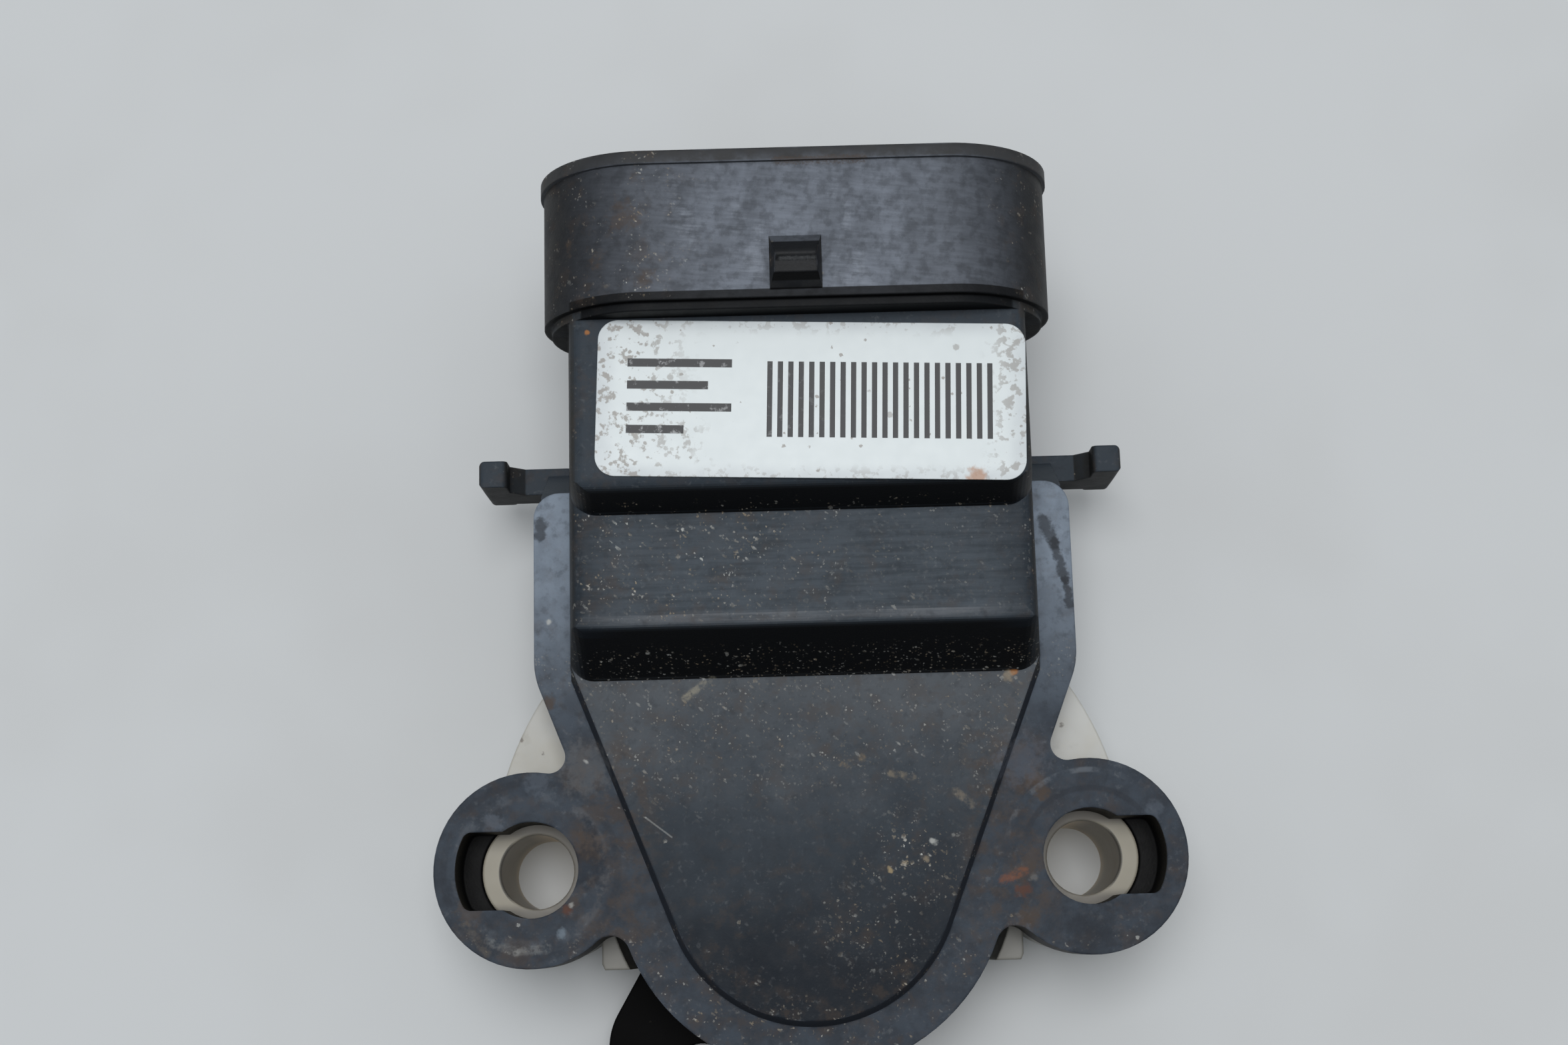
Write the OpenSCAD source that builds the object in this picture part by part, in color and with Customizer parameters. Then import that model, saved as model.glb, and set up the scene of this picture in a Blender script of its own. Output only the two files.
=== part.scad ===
// Throttle position sensor: moulded front housing with a six-way connector,
// natural nylon base, and a sprung drive lever that turns the wipers inside.
// The origin is on the rotor axis, in the plane that the sensor is bolted down on.
// +Y runs towards the connector mouth, +Z towards the labelled face.

/* [Mounting ears] */
// Distance between the two bolt holes
ear_spacing = 34; // [33:0.25:36]
// Outer diameter of each round ear
ear_d = 11.8; // [11.4:0.2:12.6]
// Diameter of the round hole in the front of each ear
ear_hole_d = 5.8; // [5.5:0.1:6.1]
// Bolt clearance hole through the base
bolt_hole_d = 4.6; // [4.2:0.1:4.7]
// Wall of the bolt tube that rises from the base into the ear
bolt_tube_wall = 1.1; // [0.9:0.05:1.15]
// How far the bolt tube rises into the ear
bolt_tube_rise = 1; // [0.6:0.1:1.5]
// Reach of the side slot from the bolt axis
slot_reach = 4.6; // [4.4:0.1:4.8]
// Width of the side slot
slot_w = 4.7; // [4.2:0.1:5]
// Corner radius of the side slot
slot_corner_r = 0.6; // [0.3:0.1:0.9]

/* [Heights] */
// Height of the base under the housing
base_h = 8; // [7.5:0.1:8.6]
// Thickness of the housing's flange and ears
flange_t = 4.5; // [4.3:0.1:5]
// Rise of the teardrop tongue above the flange
tongue_rise = 0.8; // [0.4:0.1:1.2]
// Rise of the middle step above the tongue
mid_rise = 5.2; // [4.6:0.1:5.6]
// Rise of the label step above the middle step
label_rise = 2.5; // [2:0.1:3]

/* [Flange] */
// Radius of the flange round the rotor
flange_r = 11.9; // [11.6:0.1:12.2]
// How far the flange's round end is centred below the rotor axis
flange_drop = 0.5; // [0.3:0.1:0.6]
// Width of the flange beside the body
flange_w = 33.5; // [32.5:0.25:34.5]
// Distance from the rotor axis to where the flange starts to taper
flange_corner_y = 11.8; // [11.4:0.1:12.4]
// Rounding where the flange starts to taper
flange_bend_r = 5; // [3:0.5:6]
// Distance from the rotor axis to the flange's far edge
flange_end_y = 23.3; // [22.8:0.1:23.8]
// Rounding of the flange's far corners
flange_corner_r = 1.6; // [1:0.1:2]
// Taper of the flange and of the tongue
taper_deg = 21.5; // [20.5:0.25:22.5]
// Fillet between the flange's side and the ear
neck_upper_r = 1; // [0.8:0.1:1.3]
// Fillet between the flange's round end and the ear
neck_lower_r = 1.2; // [1:0.1:1.8]

/* [Tongue and body] */
// Radius of the tongue's round end
tongue_r = 9; // [8.8:0.1:9.1]
// How far the tongue's wall leans in towards its top
tongue_lean = 0.35; // [0.1:0.05:0.4]
// How far the tongue's round end is centred below the rotor axis
tongue_drop = 0.7; // [0.5:0.1:0.9]
// Wall round the rotor chamber, measured inside the tongue
tongue_wall = 1.3; // [1.1:0.1:1.5]
// Width of the body at the label step
label_step_w = 27.2; // [26.8:0.1:27.3]
// Width of the body at the middle step
mid_step_w = 27.6; // [27.4:0.1:28]
// Width of the body at its foot
body_foot_w = 29; // [28.8:0.1:29.2]
// Distance from the rotor axis to the foot of the lower slope
low_foot_y = 11.3; // [11.1:0.1:11.6]
// Distance from the rotor axis to the top of the lower slope
low_edge_y = 13.9; // [13.7:0.1:14.4]
// Distance from the rotor axis to the foot of the upper slope
high_foot_y = 20.6; // [20.3:0.1:20.8]
// Distance from the rotor axis to the top of the upper slope
high_edge_y = 21.8; // [21.6:0.1:22]
// Distance from the rotor axis to the back of the connector shroud
shroud_y = 32.5; // [32.3:0.1:33]
// Rounding of the body's long edges
edge_r = 0.9; // [0.5:0.1:1.1]
// Rounding at the top of each slope
brow_r = 1.2; // [0.8:0.1:1.4]
// Fillet at the foot of each slope
foot_r = 0.5; // [0.2:0.1:0.7]
// Rounding of the upright corners at the ends of each slope
slope_end_r = 1.6; // [1:0.1:2]

/* [Connector] */
// Width of the oval connector shroud
shroud_w = 31; // [30.4:0.2:32]
// Thickness of the oval connector shroud
shroud_h = 12.8; // [12.4:0.1:13.2]
// Length of the shroud beyond the body
shroud_len = 9.2; // [8.9:0.1:10]
// Wall of the shroud
shroud_wall = 1.5; // [1.3:0.1:1.7]
// Rise of the shroud's face above the label step
shroud_rise = 2; // [1.7:0.1:2.3]
// How far the rim bead stands out
bead_rise = 0.2; // [0.1:0.05:0.4]
// Length of the rim bead
bead_len = 0.8; // [0.4:0.1:1.2]
// Set-back of the small shoulder behind the shroud
shoulder_in = 0.45; // [0.2:0.05:0.7]
// Length of the small shoulder behind the shroud
shoulder_len = 0.5; // [0.3:0.1:0.7]
// Depth from the mouth to the sealing ledge
socket_depth = 8.3; // [7.8:0.1:9]
// Width of the terminal well inside the socket
well_w = 24.4; // [23:0.2:25]
// Height of the terminal well inside the socket
well_h = 7.2; // [6.6:0.1:7.6]
// Depth of the terminal well behind the ledge
well_depth = 5.4; // [4.5:0.1:6]
// Width of the latch nub
latch_w = 3.1; // [2.6:0.1:3.6]
// Length of the latch nub
latch_len = 3.3; // [2.8:0.1:3.8]
// Height of the latch nub
latch_h = 1.4; // [1:0.1:1.8]
// Distance from the shroud's back edge to the latch nub
latch_back = 0.45; // [0.3:0.05:0.8]

/* [Terminals] */
// Spacing of the terminals
terminal_pitch = 3.4; // [3.2:0.05:3.6]
// Width of each terminal blade
blade_w = 1.5; // [1.2:0.05:1.6]
// Thickness of each terminal blade
blade_t = 0.64; // [0.5:0.02:0.8]
// Distance of the blade tips inside the mouth
tip_back = 2.3; // [1.5:0.1:4]
// Distance from the rotor axis to the terminal's upright leg
leg_y = 21; // [20.6:0.1:22]
// Length of the terminal's foot under the board
foot_overlap = 2; // [1.4:0.1:2.4]
// Gap of the moulding round each terminal
terminal_gap = 0.02; // [0.01:0.01:0.04]

/* [Side hooks] */
// Overall width across the two side hooks
hook_span = 41; // [40:0.2:41.4]
// Gap between the flange's far edge and the hooks
hook_gap_y = 0.9; // [0.6:0.1:1.2]
// Width of each hook's head
hook_head_w = 1.8; // [1.5:0.1:2]
// Length of the bar and of each hook's head
hook_len = 1.7; // [1.4:0.1:2]
// Height of each hook's head
hook_head_h = 5.6; // [5.4:0.1:6.2]
// Height of the hook's head above the housing's underside
hook_head_up = 2.6; // [2.2:0.1:3]
// Thickness of the cross bar between the hooks
hook_bar_t = 2.7; // [2.3:0.1:3]
// Width of the ramp between the flange and the cross bar
ramp_w = 2.1; // [1.6:0.1:2.2]

/* [Base] */
// Outer radius of the base
base_r = 20; // [19.6:0.1:20.4]
// Wall of the base's outer rim
base_rim = 1.3; // [1.1:0.1:1.6]
// Outer radius of the inner ring wall
ring_r = 14.3; // [14:0.1:14.6]
// Thickness of the inner ring wall
ring_wall = 1.4; // [1.2:0.1:1.5]
// Distance from the rotor axis to the square ends of the ring wall beside the lever
window_end_y = 6.1; // [5.8:0.05:6.1]
// Distance from the rotor axis to the ring wall's flat sides beside the lever
window_side_x = 13.1; // [12.9:0.05:13.3]
// Thickness of the base's floor
floor_t = 1.6; // [1.5:0.05:1.7]
// Radius of the floor below the rotor
floor_r = 11.8; // [11.6:0.05:11.9]
// Radius of the pad under each ear
pad_r = 5.6; // [5.4:0.05:5.7]
// Wall round the pad under each ear
pad_wall = 0.9; // [0.8:0.05:1.1]
// Depth of the coring in each pad
pad_coring = 5.4; // [4.5:0.1:6]
// Thickness of the base's ribs
rib_t = 1.2; // [1:0.1:1.5]
// Rise of the rim that locates the base in the housing
locate_rise = 0.7; // [0.5:0.05:0.8]
// Thickness of the rim that locates the base in the housing
locate_t = 1; // [0.8:0.05:1.1]
// Play of the locating rim and of the bolt tubes
locate_play = 0.1; // [0.05:0.01:0.15]
// Outer radius of the bearing boss
boss_r = 4.6; // [4.4:0.05:4.7]
// Angle that each stop post covers
stop_deg = 9; // [7:0.5:11]

/* [Chamber] */
// Half the width of the chamber over the board's terminal end
chamber_half_w = 10.4; // [10.2:0.05:10.8]
// Distance from the rotor axis to the chamber's far end
chamber_end_y = 13.2; // [12.9:0.05:13.4]
// Rounding of the chamber's far corners
chamber_corner_r = 1.5; // [1:0.1:2]
// Thickness of the moulding over the chamber
roof_t = 1.2; // [1:0.05:1.3]
// Width of the seal groove round the chamber
groove_w = 1.2; // [1:0.05:1.4]
// Depth of the seal groove
groove_depth = 0.9; // [0.7:0.05:1.1]
// Land between the chamber and the seal groove
groove_land = 0.8; // [0.6:0.05:1]

/* [Sensor board] */
// Thickness of the board
board_t = 0.8; // [0.6:0.05:1]
// Play between the board and the chamber's wall
board_play = 0.25; // [0.15:0.05:0.35]
// Thickness of the printed film with its tracks
track_t = 0.08; // [0.06:0.01:0.1]
// Margin between the film's edge and the board's edge
film_margin = 0.4; // [0.3:0.05:0.6]
// Mean radius of the inner track
track_inner_r = 3.1; // [3:0.05:3.3]
// Mean radius of the outer track
track_outer_r = 5; // [4.8:0.05:5.2]
// Width of each track
track_w = 1; // [0.8:0.05:1.2]

/* [Rotor] */
// Radius of the rotor shaft
shaft_r = 2.5; // [2.4:0.01:2.6]
// Running clearance of the shaft in its bush
shaft_play = 0.04; // [0.02:0.01:0.08]
// Wall of the bush
bush_wall = 1; // [0.9:0.05:1.1]
// Axial length of the shaft seal
seal_len = 0.9; // [0.7:0.05:1.1]
// Radius of the wiper carrier
carrier_r = 6.2; // [6:0.05:6.3]
// Thickness of the wiper carrier
carrier_t = 0.9; // [0.8:0.05:1]
// Radius of the carrier's hub
carrier_hub_r = 3.9; // [3.7:0.05:4.1]
// Gap between the carrier and the locating rim
carrier_lift = 0.35; // [0.3:0.05:0.4]
// Thickness of the thrust washer
washer_t = 0.2; // [0.15:0.01:0.25]
// Outer radius of the thrust washer
washer_r = 4.1; // [3.9:0.05:4.3]
// Thickness of the wiper strips
wiper_t = 0.15; // [0.1:0.01:0.18]
// Width of the wiper strips
wiper_w = 0.9; // [0.7:0.05:1]

/* [Drive lever] */
// Distance from the rotor axis to the lever's eye
eye_reach = 14.4; // [14:0.1:14.8]
// Distance from the rotor axis to the lever's end
lever_reach = 18.2; // [17.8:0.1:18.6]
// Radius of the lever round the shaft
lever_hub_r = 7.2; // [6.9:0.05:7.4]
// Width of the lever's arm
lever_w = 12.8; // [12.2:0.1:13]
// Corner radius of the lever's end
lever_corner_r = 4.2; // [3.6:0.1:4.6]
// Radius of the lever's eye
lever_eye_r = 1.6; // [1.4:0.05:1.8]
// Thickness of the lever
lever_t = 2.5; // [2.3:0.05:2.6]
// Height of the lever above the bolting plane
lever_lift = 0.9; // [0.8:0.05:1]
// Direction of the lever at rest, counted from +X
lever_deg = 240; // [238:0.5:242]
// Travel of the lever
lever_travel = 60; // [55:1:62]
// Rim left round the pocket in the lever's rear face
lever_rim = 1.2; // [1:0.1:1.4]
// Depth of the pocket in the lever's rear face
lever_pocket = 1.1; // [0.8:0.1:1.3]
// Half the angle that the lever's stop lug covers
lug_half_deg = 8; // [7:0.5:9]
// Gap between the lug and each stop post
stop_gap = 0.3; // [0.25:0.05:0.35]
// Outer radius of the push nut that holds the lever
nut_r = 4.6; // [4.2:0.1:5]
// Thickness of the push nut
nut_t = 0.35; // [0.3:0.05:0.4]

/* [Return spring] */
// Wire diameter of the return spring
wire_d = 0.8; // [0.7:0.02:0.82]
// Mean radius of the return spring
spring_r = 5.6; // [5.5:0.05:5.7]
// Reach of the spring's legs from the rotor axis
spring_leg_r = 9; // [8.8:0.05:9.1]
// Direction of the leg on the lever, counted from the lever
spring_leg_deg = 26; // [24:1:28]
// Direction of the leg on the base, counted from +X
spring_anchor_deg = 330; // [328:1:332]

/* [Label] */
// Length of the label
label_w = 25.4; // [24.6:0.1:25.6]
// Height of the label
label_h = 9.5; // [9:0.1:9.7]
// Corner radius of the label
label_r = 1.2; // [0.8:0.1:1.6]
// Thickness of the label
label_t = 0.1; // [0.06:0.01:0.16]
// Turn of the label as it was stuck on
label_turn = -2.1; // [-2.4:0.1:0]
// Sideways offset of the label as it was stuck on
label_x = 0.7; // [0:0.1:0.8]
// Gap between the label and the shoulder behind the shroud
label_gap = 0.1; // [0.05:0.05:0.3]

/* [Hidden] */
$fn = 96;

// Overlap that joins or cuts cleanly
eps = 0.01;
// Steps in each rounded profile corner
arc_steps = 9;
// Steps round the half-round ends of the tongue and of the chamber
end_steps = 56;

// Levels of the housing, from the bolting plane
flange_z = base_h + flange_t;
tongue_z = flange_z + tongue_rise;
mid_z = tongue_z + mid_rise;
label_z = mid_z + label_rise;
shroud_mid_z = label_z + shroud_rise - shroud_h / 2;
shroud_end_y = shroud_y + shroud_len;
ledge_y = shroud_end_y - socket_depth;
well_y = ledge_y - well_depth;
roof_z = tongue_z - roof_t;

// Radii and centres that the outlines share
ear_x = ear_spacing / 2;
ear_r = ear_d / 2;
tube_r = bolt_hole_d / 2 + bolt_tube_wall;
taper_along = [-sin(taper_deg), -cos(taper_deg)];
taper_out = [cos(taper_deg), -sin(taper_deg)];
flange_corner = [flange_w / 2, flange_corner_y];
ear_centre = [ear_x, 0];

// Centre of the fillet that touches the flange's tapered side and the ear
upper_q = flange_corner + neck_upper_r * taper_out - ear_centre;
upper_dot = upper_q * taper_along;
upper_s = -upper_dot - sqrt(upper_dot ^ 2 - upper_q * upper_q + (ear_r + neck_upper_r) ^ 2);
upper_centre = ear_centre + upper_q + upper_s * taper_along;
upper_touch = upper_centre - neck_upper_r * taper_out;

// Centre of the fillet that touches the flange's round end and the ear
round_centre = [0, -flange_drop];
lower_far = flange_r + neck_lower_r;
lower_near = ear_r + neck_lower_r;
lower_run = norm(ear_centre - round_centre);
lower_u = (ear_centre - round_centre) / lower_run;
lower_s = (lower_far ^ 2 - lower_near ^ 2 + lower_run ^ 2) / (2 * lower_run);
lower_centre = round_centre + lower_s * lower_u
    + sqrt(lower_far ^ 2 - lower_s ^ 2) * [lower_u[1], -lower_u[0]];

// Rotor chamber, concentric with the shaft and parallel to the tongue's sides
chamber_r = tongue_r - tongue_wall + tongue_drop * sin(taper_deg);

// Rotor levels
floor_z = base_h - floor_t;
lever_top_z = lever_lift + lever_t;
boss_z = lever_top_z + 0.3;
bush_r = shaft_r + shaft_play + bush_wall;
press_play = 0.02;
hub_z = base_h + 0.05 + washer_t + 0.05;
carrier_z = base_h + locate_rise + carrier_lift;
board_z = roof_z - board_t;
shaft_top_z = carrier_z + carrier_t;
shaft_foot_z = lever_lift - nut_t - 0.2;
contact_gap = 0.1;

// Spring levels: each end lies clear of the lever and of the floor
spring_low_z = lever_top_z + 0.12 + wire_d / 2;
spring_high_z = floor_z - 0.1 - wire_d / 2;
spring_start_deg = lever_deg + spring_leg_deg;
spring_turn_deg = spring_anchor_deg - 720 - spring_start_deg;
peg_in_r = 7.3;
peg_out_r = 8.9;
peg_half_deg = 5;
peg_clear = 0.12;
stop_in_r = 9.7;
stop_out_r = 11.4;
lug_rise = 2.2;

// Colours
black = [0.09, 0.095, 0.105];
nylon = [0.82, 0.81, 0.76];
silver = [0.83, 0.84, 0.85];
tin = [0.72, 0.72, 0.68];
bronze = [0.62, 0.47, 0.27];
steel = [0.6, 0.61, 0.63];
rubber = [0.22, 0.12, 0.1];
board_tan = [0.78, 0.74, 0.62];
carbon = [0.06, 0.06, 0.06];
copper = [0.75, 0.5, 0.3];

// Unit vector along v
function unit(v) = v / norm(v);

// Arc points that round the corner p between its neighbours a and b
function corner_arc(a, p, b, r) =
    let (
        u = unit(a - p),
        v = unit(b - p),
        half = acos(u * v) / 2,
        centre = p + unit(u + v) * r / sin(half),
        from = p + u * r / tan(half) - centre,
        to = p + v * r / tan(half) - centre,
        start = atan2(from[1], from[0]),
        turn = atan2(from[0] * to[1] - from[1] * to[0], from * to)
    )
    [for (i = [0 : arc_steps]) centre + r * [cos(start + turn * i / arc_steps), sin(start + turn * i / arc_steps)]];

// Closed outline of points [x, y, r], each corner rounded by its own r
function rounded(points) =
    let (n = len(points))
    [
        for (i = [0 : n - 1])
            let (
                q = points[i],
                p = [q[0], q[1]],
                before = points[(i + n - 1) % n],
                after = points[(i + 1) % n]
            )
            each q[2] > 0
                ? corner_arc([before[0], before[1]], p, [after[0], after[1]], q[2])
                : [p]
    ];

// Extrudes an outline drawn in Y and Z along X, centred
module along_x(width) {
    rotate([90, 0, 90]) linear_extrude(width, center = true) children();
}

// Extrudes an outline drawn in X and Z from y_low to y_high
module along_y(y_low, y_high) {
    translate([0, y_high, 0]) rotate([90, 0, 0]) linear_extrude(y_high - y_low) children();
}

// Repeats its children on both sides of the YZ plane
module both_sides() {
    children();
    mirror([1, 0, 0]) children();
}

// Oval of two half circles and a rectangle
module oval(w, h) {
    square([w - h, h], center = true);
    for (side = [-1, 1]) translate([side * (w - h) / 2, 0]) circle(d = h);
}

// Wedge that covers the angles from low to high
module wedge(low, high, r) {
    steps = ceil((high - low) / 45);
    polygon(concat(
        [[0, 0]],
        [for (i = [0 : steps]) 2 * r * [cos(low + (high - low) * i / steps), sin(low + (high - low) * i / steps)]]
    ));
}

// Part of a ring between two radii and two angles
module ring_part(r_in, r_out, low, high) {
    intersection() {
        difference() {
            circle(r_out);
            circle(r_in);
        }
        wedge(low, high, r_out);
    }
}

// Outline of the flange with its two ears
module flange_outline() {
    difference() {
        union() {
            translate(round_centre) circle(flange_r);
            both_sides() {
                translate(ear_centre) circle(ear_r);
                polygon([round_centre, ear_centre, lower_centre]);
                polygon(rounded([
                    [0, 0, 0],
                    [ear_x, 0, 0],
                    [upper_centre[0], upper_centre[1], 0],
                    [upper_touch[0], upper_touch[1], 0],
                    [flange_corner[0], flange_corner[1], flange_bend_r],
                    [flange_w / 2, flange_end_y, flange_corner_r],
                    [0, flange_end_y, 0]
                ]));
            }
        }
        both_sides() {
            translate(upper_centre) circle(neck_upper_r);
            translate(lower_centre) circle(neck_lower_r);
        }
    }
}

// Half-round end of radius r that is tangent to two sides at the taper
function taper_end(r) =
    let (sweep_deg = 180 - 2 * taper_deg)
    [
        for (i = [0 : end_steps])
            let (a = -taper_deg - sweep_deg * i / end_steps)
            r * [cos(a), sin(a)]
    ];

// Points of the teardrop tongue's outline, which runs in between the body's sides
function tongue_points(r, half_w) =
    let (
        touch = r * taper_out,
        side_y = touch[1] + (half_w - touch[0]) / tan(taper_deg),
        end_y = low_foot_y + slope_end_r + 0.4 + tongue_drop
    )
    concat(taper_end(r), [[-half_w, side_y], [-half_w, end_y], [half_w, end_y], [half_w, side_y]]);

// Raised teardrop tongue whose wall leans in towards the top
module tongue_solid() {
    skin = 0.01;
    half_w = body_foot_w / 2 - 0.05;
    body_lean = (body_foot_w - mid_step_w) / 2 * tongue_rise / (mid_z - flange_z);
    translate([0, -tongue_drop, flange_z]) hull() {
        linear_extrude(skin) polygon(tongue_points(tongue_r, half_w));
        translate([0, 0, tongue_rise - skin]) linear_extrude(skin)
            polygon(tongue_points(tongue_r - tongue_lean, half_w - body_lean));
    }
}

// Outline of the rotor chamber, grown all round
module chamber_outline(grow) {
    r = chamber_r + grow;
    half_w = chamber_half_w + grow;
    end_y = chamber_end_y + grow;
    corner_r = chamber_corner_r + grow;
    touch = r * taper_out;
    side_y = touch[1] + (half_w - touch[0]) / tan(taper_deg);
    polygon(concat(
        taper_end(r),
        rounded([
            [-half_w, side_y, 0],
            [-half_w, end_y, corner_r],
            [half_w, end_y, corner_r],
            [half_w, side_y, 0]
        ])
    ));
}

// Cross-section of the body, wider towards its foot
module body_section(top_w, top_z) {
    polygon(rounded([
        [-body_foot_w / 2, base_h, 0],
        [body_foot_w / 2, base_h, 0],
        [body_foot_w / 2, flange_z, 0],
        [mid_step_w / 2, mid_z, 0],
        [top_w / 2, top_z, edge_r],
        [-top_w / 2, top_z, edge_r],
        [-mid_step_w / 2, mid_z, 0],
        [-body_foot_w / 2, flange_z, 0]
    ]));
}

// Cross-section of the body at the middle step
module mid_section() {
    polygon(rounded([
        [-body_foot_w / 2, base_h, 0],
        [body_foot_w / 2, base_h, 0],
        [body_foot_w / 2, flange_z, 0],
        [mid_step_w / 2, mid_z, edge_r],
        [-mid_step_w / 2, mid_z, edge_r],
        [-body_foot_w / 2, flange_z, 0]
    ]));
}

// Side profile of the body with its two slopes
module body_profile() {
    polygon(rounded([
        [low_foot_y - 2, base_h, 0],
        [shroud_y + eps, base_h, 0],
        [shroud_y + eps, label_z, 0],
        [high_edge_y, label_z, brow_r],
        [high_foot_y, mid_z, foot_r],
        [low_edge_y, mid_z, brow_r],
        [low_foot_y, tongue_z, foot_r],
        [low_foot_y - 2, tongue_z, 0]
    ]));
}

// Slanted block whose front lies on a slope and has rounded upright corners
module slope_block(foot_y, foot_z, top_y, top_z, half_w) {
    reach = 2 * label_z;
    stand_off = 0.02;
    translate([0, foot_y - stand_off, foot_z]) rotate([-atan2(top_y - foot_y, top_z - foot_z), 0, 0])
        translate([0, 0, -reach]) linear_extrude(2 * reach) polygon(rounded([
            [-half_w, 0, slope_end_r],
            [half_w, 0, slope_end_r],
            [half_w, 2 * shroud_y, 0],
            [-half_w, 2 * shroud_y, 0]
        ]));
}

// Stepped body between the tongue and the shroud
module body_block() {
    intersection() {
        along_x(body_foot_w + 2) body_profile();
        union() {
            intersection() {
                along_y(high_foot_y - 0.5, shroud_y) body_section(label_step_w, label_z);
                slope_block(high_foot_y, mid_z, high_edge_y, label_z, mid_step_w / 2 + 0.05);
            }
            intersection() {
                along_y(low_foot_y - 0.5, shroud_y) mid_section();
                slope_block(low_foot_y, tongue_z, low_edge_y, mid_z, body_foot_w / 2 + 0.05);
            }
        }
    }
}

// Oval shroud with its rim bead and the shoulder behind it
module shroud_solid() {
    translate([0, 0, shroud_mid_z]) {
        along_y(shroud_y, shroud_end_y) oval(shroud_w, shroud_h);
        along_y(shroud_end_y - bead_len, shroud_end_y)
            oval(shroud_w + 2 * bead_rise, shroud_h + 2 * bead_rise);
        along_y(shroud_y - shoulder_len, shroud_y + eps)
            oval(shroud_w - 2 * shoulder_in, shroud_h - 2 * shoulder_in);
    }
}

// Socket with its sealing ledge and the terminal well
module socket_cut() {
    translate([0, 0, shroud_mid_z]) {
        along_y(ledge_y, shroud_end_y + 1)
            oval(shroud_w - 2 * shroud_wall, shroud_h - 2 * shroud_wall);
        along_y(well_y, ledge_y + eps) oval(well_w, well_h);
    }
}

// Latch nub: a ramp from the mouth side, a rounded crest and a steep back
module latch_nub() {
    top_z = shroud_mid_z + shroud_h / 2;
    low_y = shroud_y + latch_back;
    side_in = 0.35;
    intersection() {
        along_x(latch_w) polygon(rounded([
            [low_y, top_z - 0.3, 0],
            [low_y + latch_len, top_z - 0.3, 0],
            [low_y + latch_len, top_z, 0],
            [low_y + 0.58 * latch_len, top_z + latch_h, 0.35],
            [low_y + 0.42 * latch_len, top_z + 0.8 * latch_h, 0.1],
            [low_y + 0.22 * latch_len, top_z + 0.78 * latch_h, 0.15],
            [low_y, top_z, 0]
        ]));
        along_y(low_y, low_y + latch_len) polygon([
            [-latch_w / 2, top_z - 0.3],
            [latch_w / 2, top_z - 0.3],
            [latch_w / 2, top_z],
            [latch_w / 2 - side_in, top_z + latch_h],
            [side_in - latch_w / 2, top_z + latch_h],
            [-latch_w / 2, top_z]
        ]);
    }
}

// Cross bar under the body with an upright head at each end and a ramp to the flange
module side_hooks() {
    low_y = flange_end_y + hook_gap_y;
    high_y = low_y + hook_len;
    bar_z = base_h - hook_bar_t;
    bar_top_z = base_h + eps;
    head_top_z = base_h + hook_head_up;
    neck_x = hook_span / 2 - hook_head_w;
    fillet = 0.9;
    head_draft = 0.2;
    along_y(low_y, high_y)
        polygon([
            [-neck_x - eps, bar_z],
            [neck_x + eps, bar_z],
            [neck_x + eps, bar_top_z + fillet],
            [neck_x - fillet, bar_top_z],
            [fillet - neck_x, bar_top_z],
            [-neck_x - eps, bar_top_z + fillet]
        ]);
    both_sides() {
        intersection() {
            along_y(low_y, high_y)
                polygon(rounded([
                    [neck_x, head_top_z - hook_head_h, 0.3],
                    [hook_span / 2 - head_draft, head_top_z - hook_head_h, 0.3],
                    [hook_span / 2, head_top_z, 0.35],
                    [neck_x, head_top_z, 0.35]
                ]));
            linear_extrude(2 * base_h) polygon(rounded([
                [neck_x - 1, low_y, 0],
                [hook_span / 2, low_y, 0.4],
                [hook_span / 2, high_y, 0.4],
                [neck_x - 1, high_y, 0]
            ]));
        }
        translate([body_foot_w / 2 - 0.3 + ramp_w / 2, 0, 0]) along_x(ramp_w) polygon([
            [flange_end_y - 0.5, base_h],
            [high_y - 0.5, base_h],
            [high_y - 0.5, bar_top_z],
            [flange_end_y - 0.2, flange_z - 0.2],
            [flange_end_y - 0.5, flange_z - 0.2]
        ]);
    }
}

// Outline of the slot on the outer side of one ear, from the hole's centre outwards
function slot_points() =
    let (
        corner_y = slot_w / 2 - slot_corner_r,
        corner_x = sqrt((slot_reach - slot_corner_r) ^ 2 - corner_y ^ 2),
        turn = atan2(corner_y, corner_x),
        steps = 8
    )
    concat(
        [[0, -slot_w / 2]],
        [for (i = [0 : steps]) let (a = -90 + (90 - turn) * i / steps)
            [corner_x, -corner_y] + slot_corner_r * [cos(a), sin(a)]],
        [for (i = [1 : 2 * steps]) let (a = turn * (i / steps - 1)) slot_reach * [cos(a), sin(a)]],
        [for (i = [1 : steps]) let (a = turn + (90 - turn) * i / steps)
            [corner_x, corner_y] + slot_corner_r * [cos(a), sin(a)]],
        [[0, slot_w / 2]]
    );

// Hole, slot and bolt tube pocket in each ear
module ear_cut() {
    pocket_z = base_h + bolt_tube_rise;
    both_sides() translate([ear_x, 0, 0]) {
        translate([0, 0, pocket_z]) cylinder(h = flange_t + 1, d = ear_hole_d);
        translate([0, 0, base_h - 1]) cylinder(h = bolt_tube_rise + 1 + eps, r = tube_r + locate_play);
        translate([0, 0, pocket_z]) linear_extrude(flange_t + 1) polygon(slot_points());
    }
}

// Coring under the connector end of the body
module body_coring() {
    count = 5;
    pocket_w = 4.3;
    pocket_pitch = pocket_w + rib_t;
    pocket_depth = 3;
    low_y = flange_end_y + hook_gap_y + hook_len + 0.8;
    high_y = shroud_y - 1.4;
    for (i = [0 : count - 1])
        translate([(i - (count - 1) / 2) * pocket_pitch - pocket_w / 2, low_y, base_h - 1])
            cube([pocket_w, high_y - low_y, pocket_depth + 1]);
}

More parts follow.
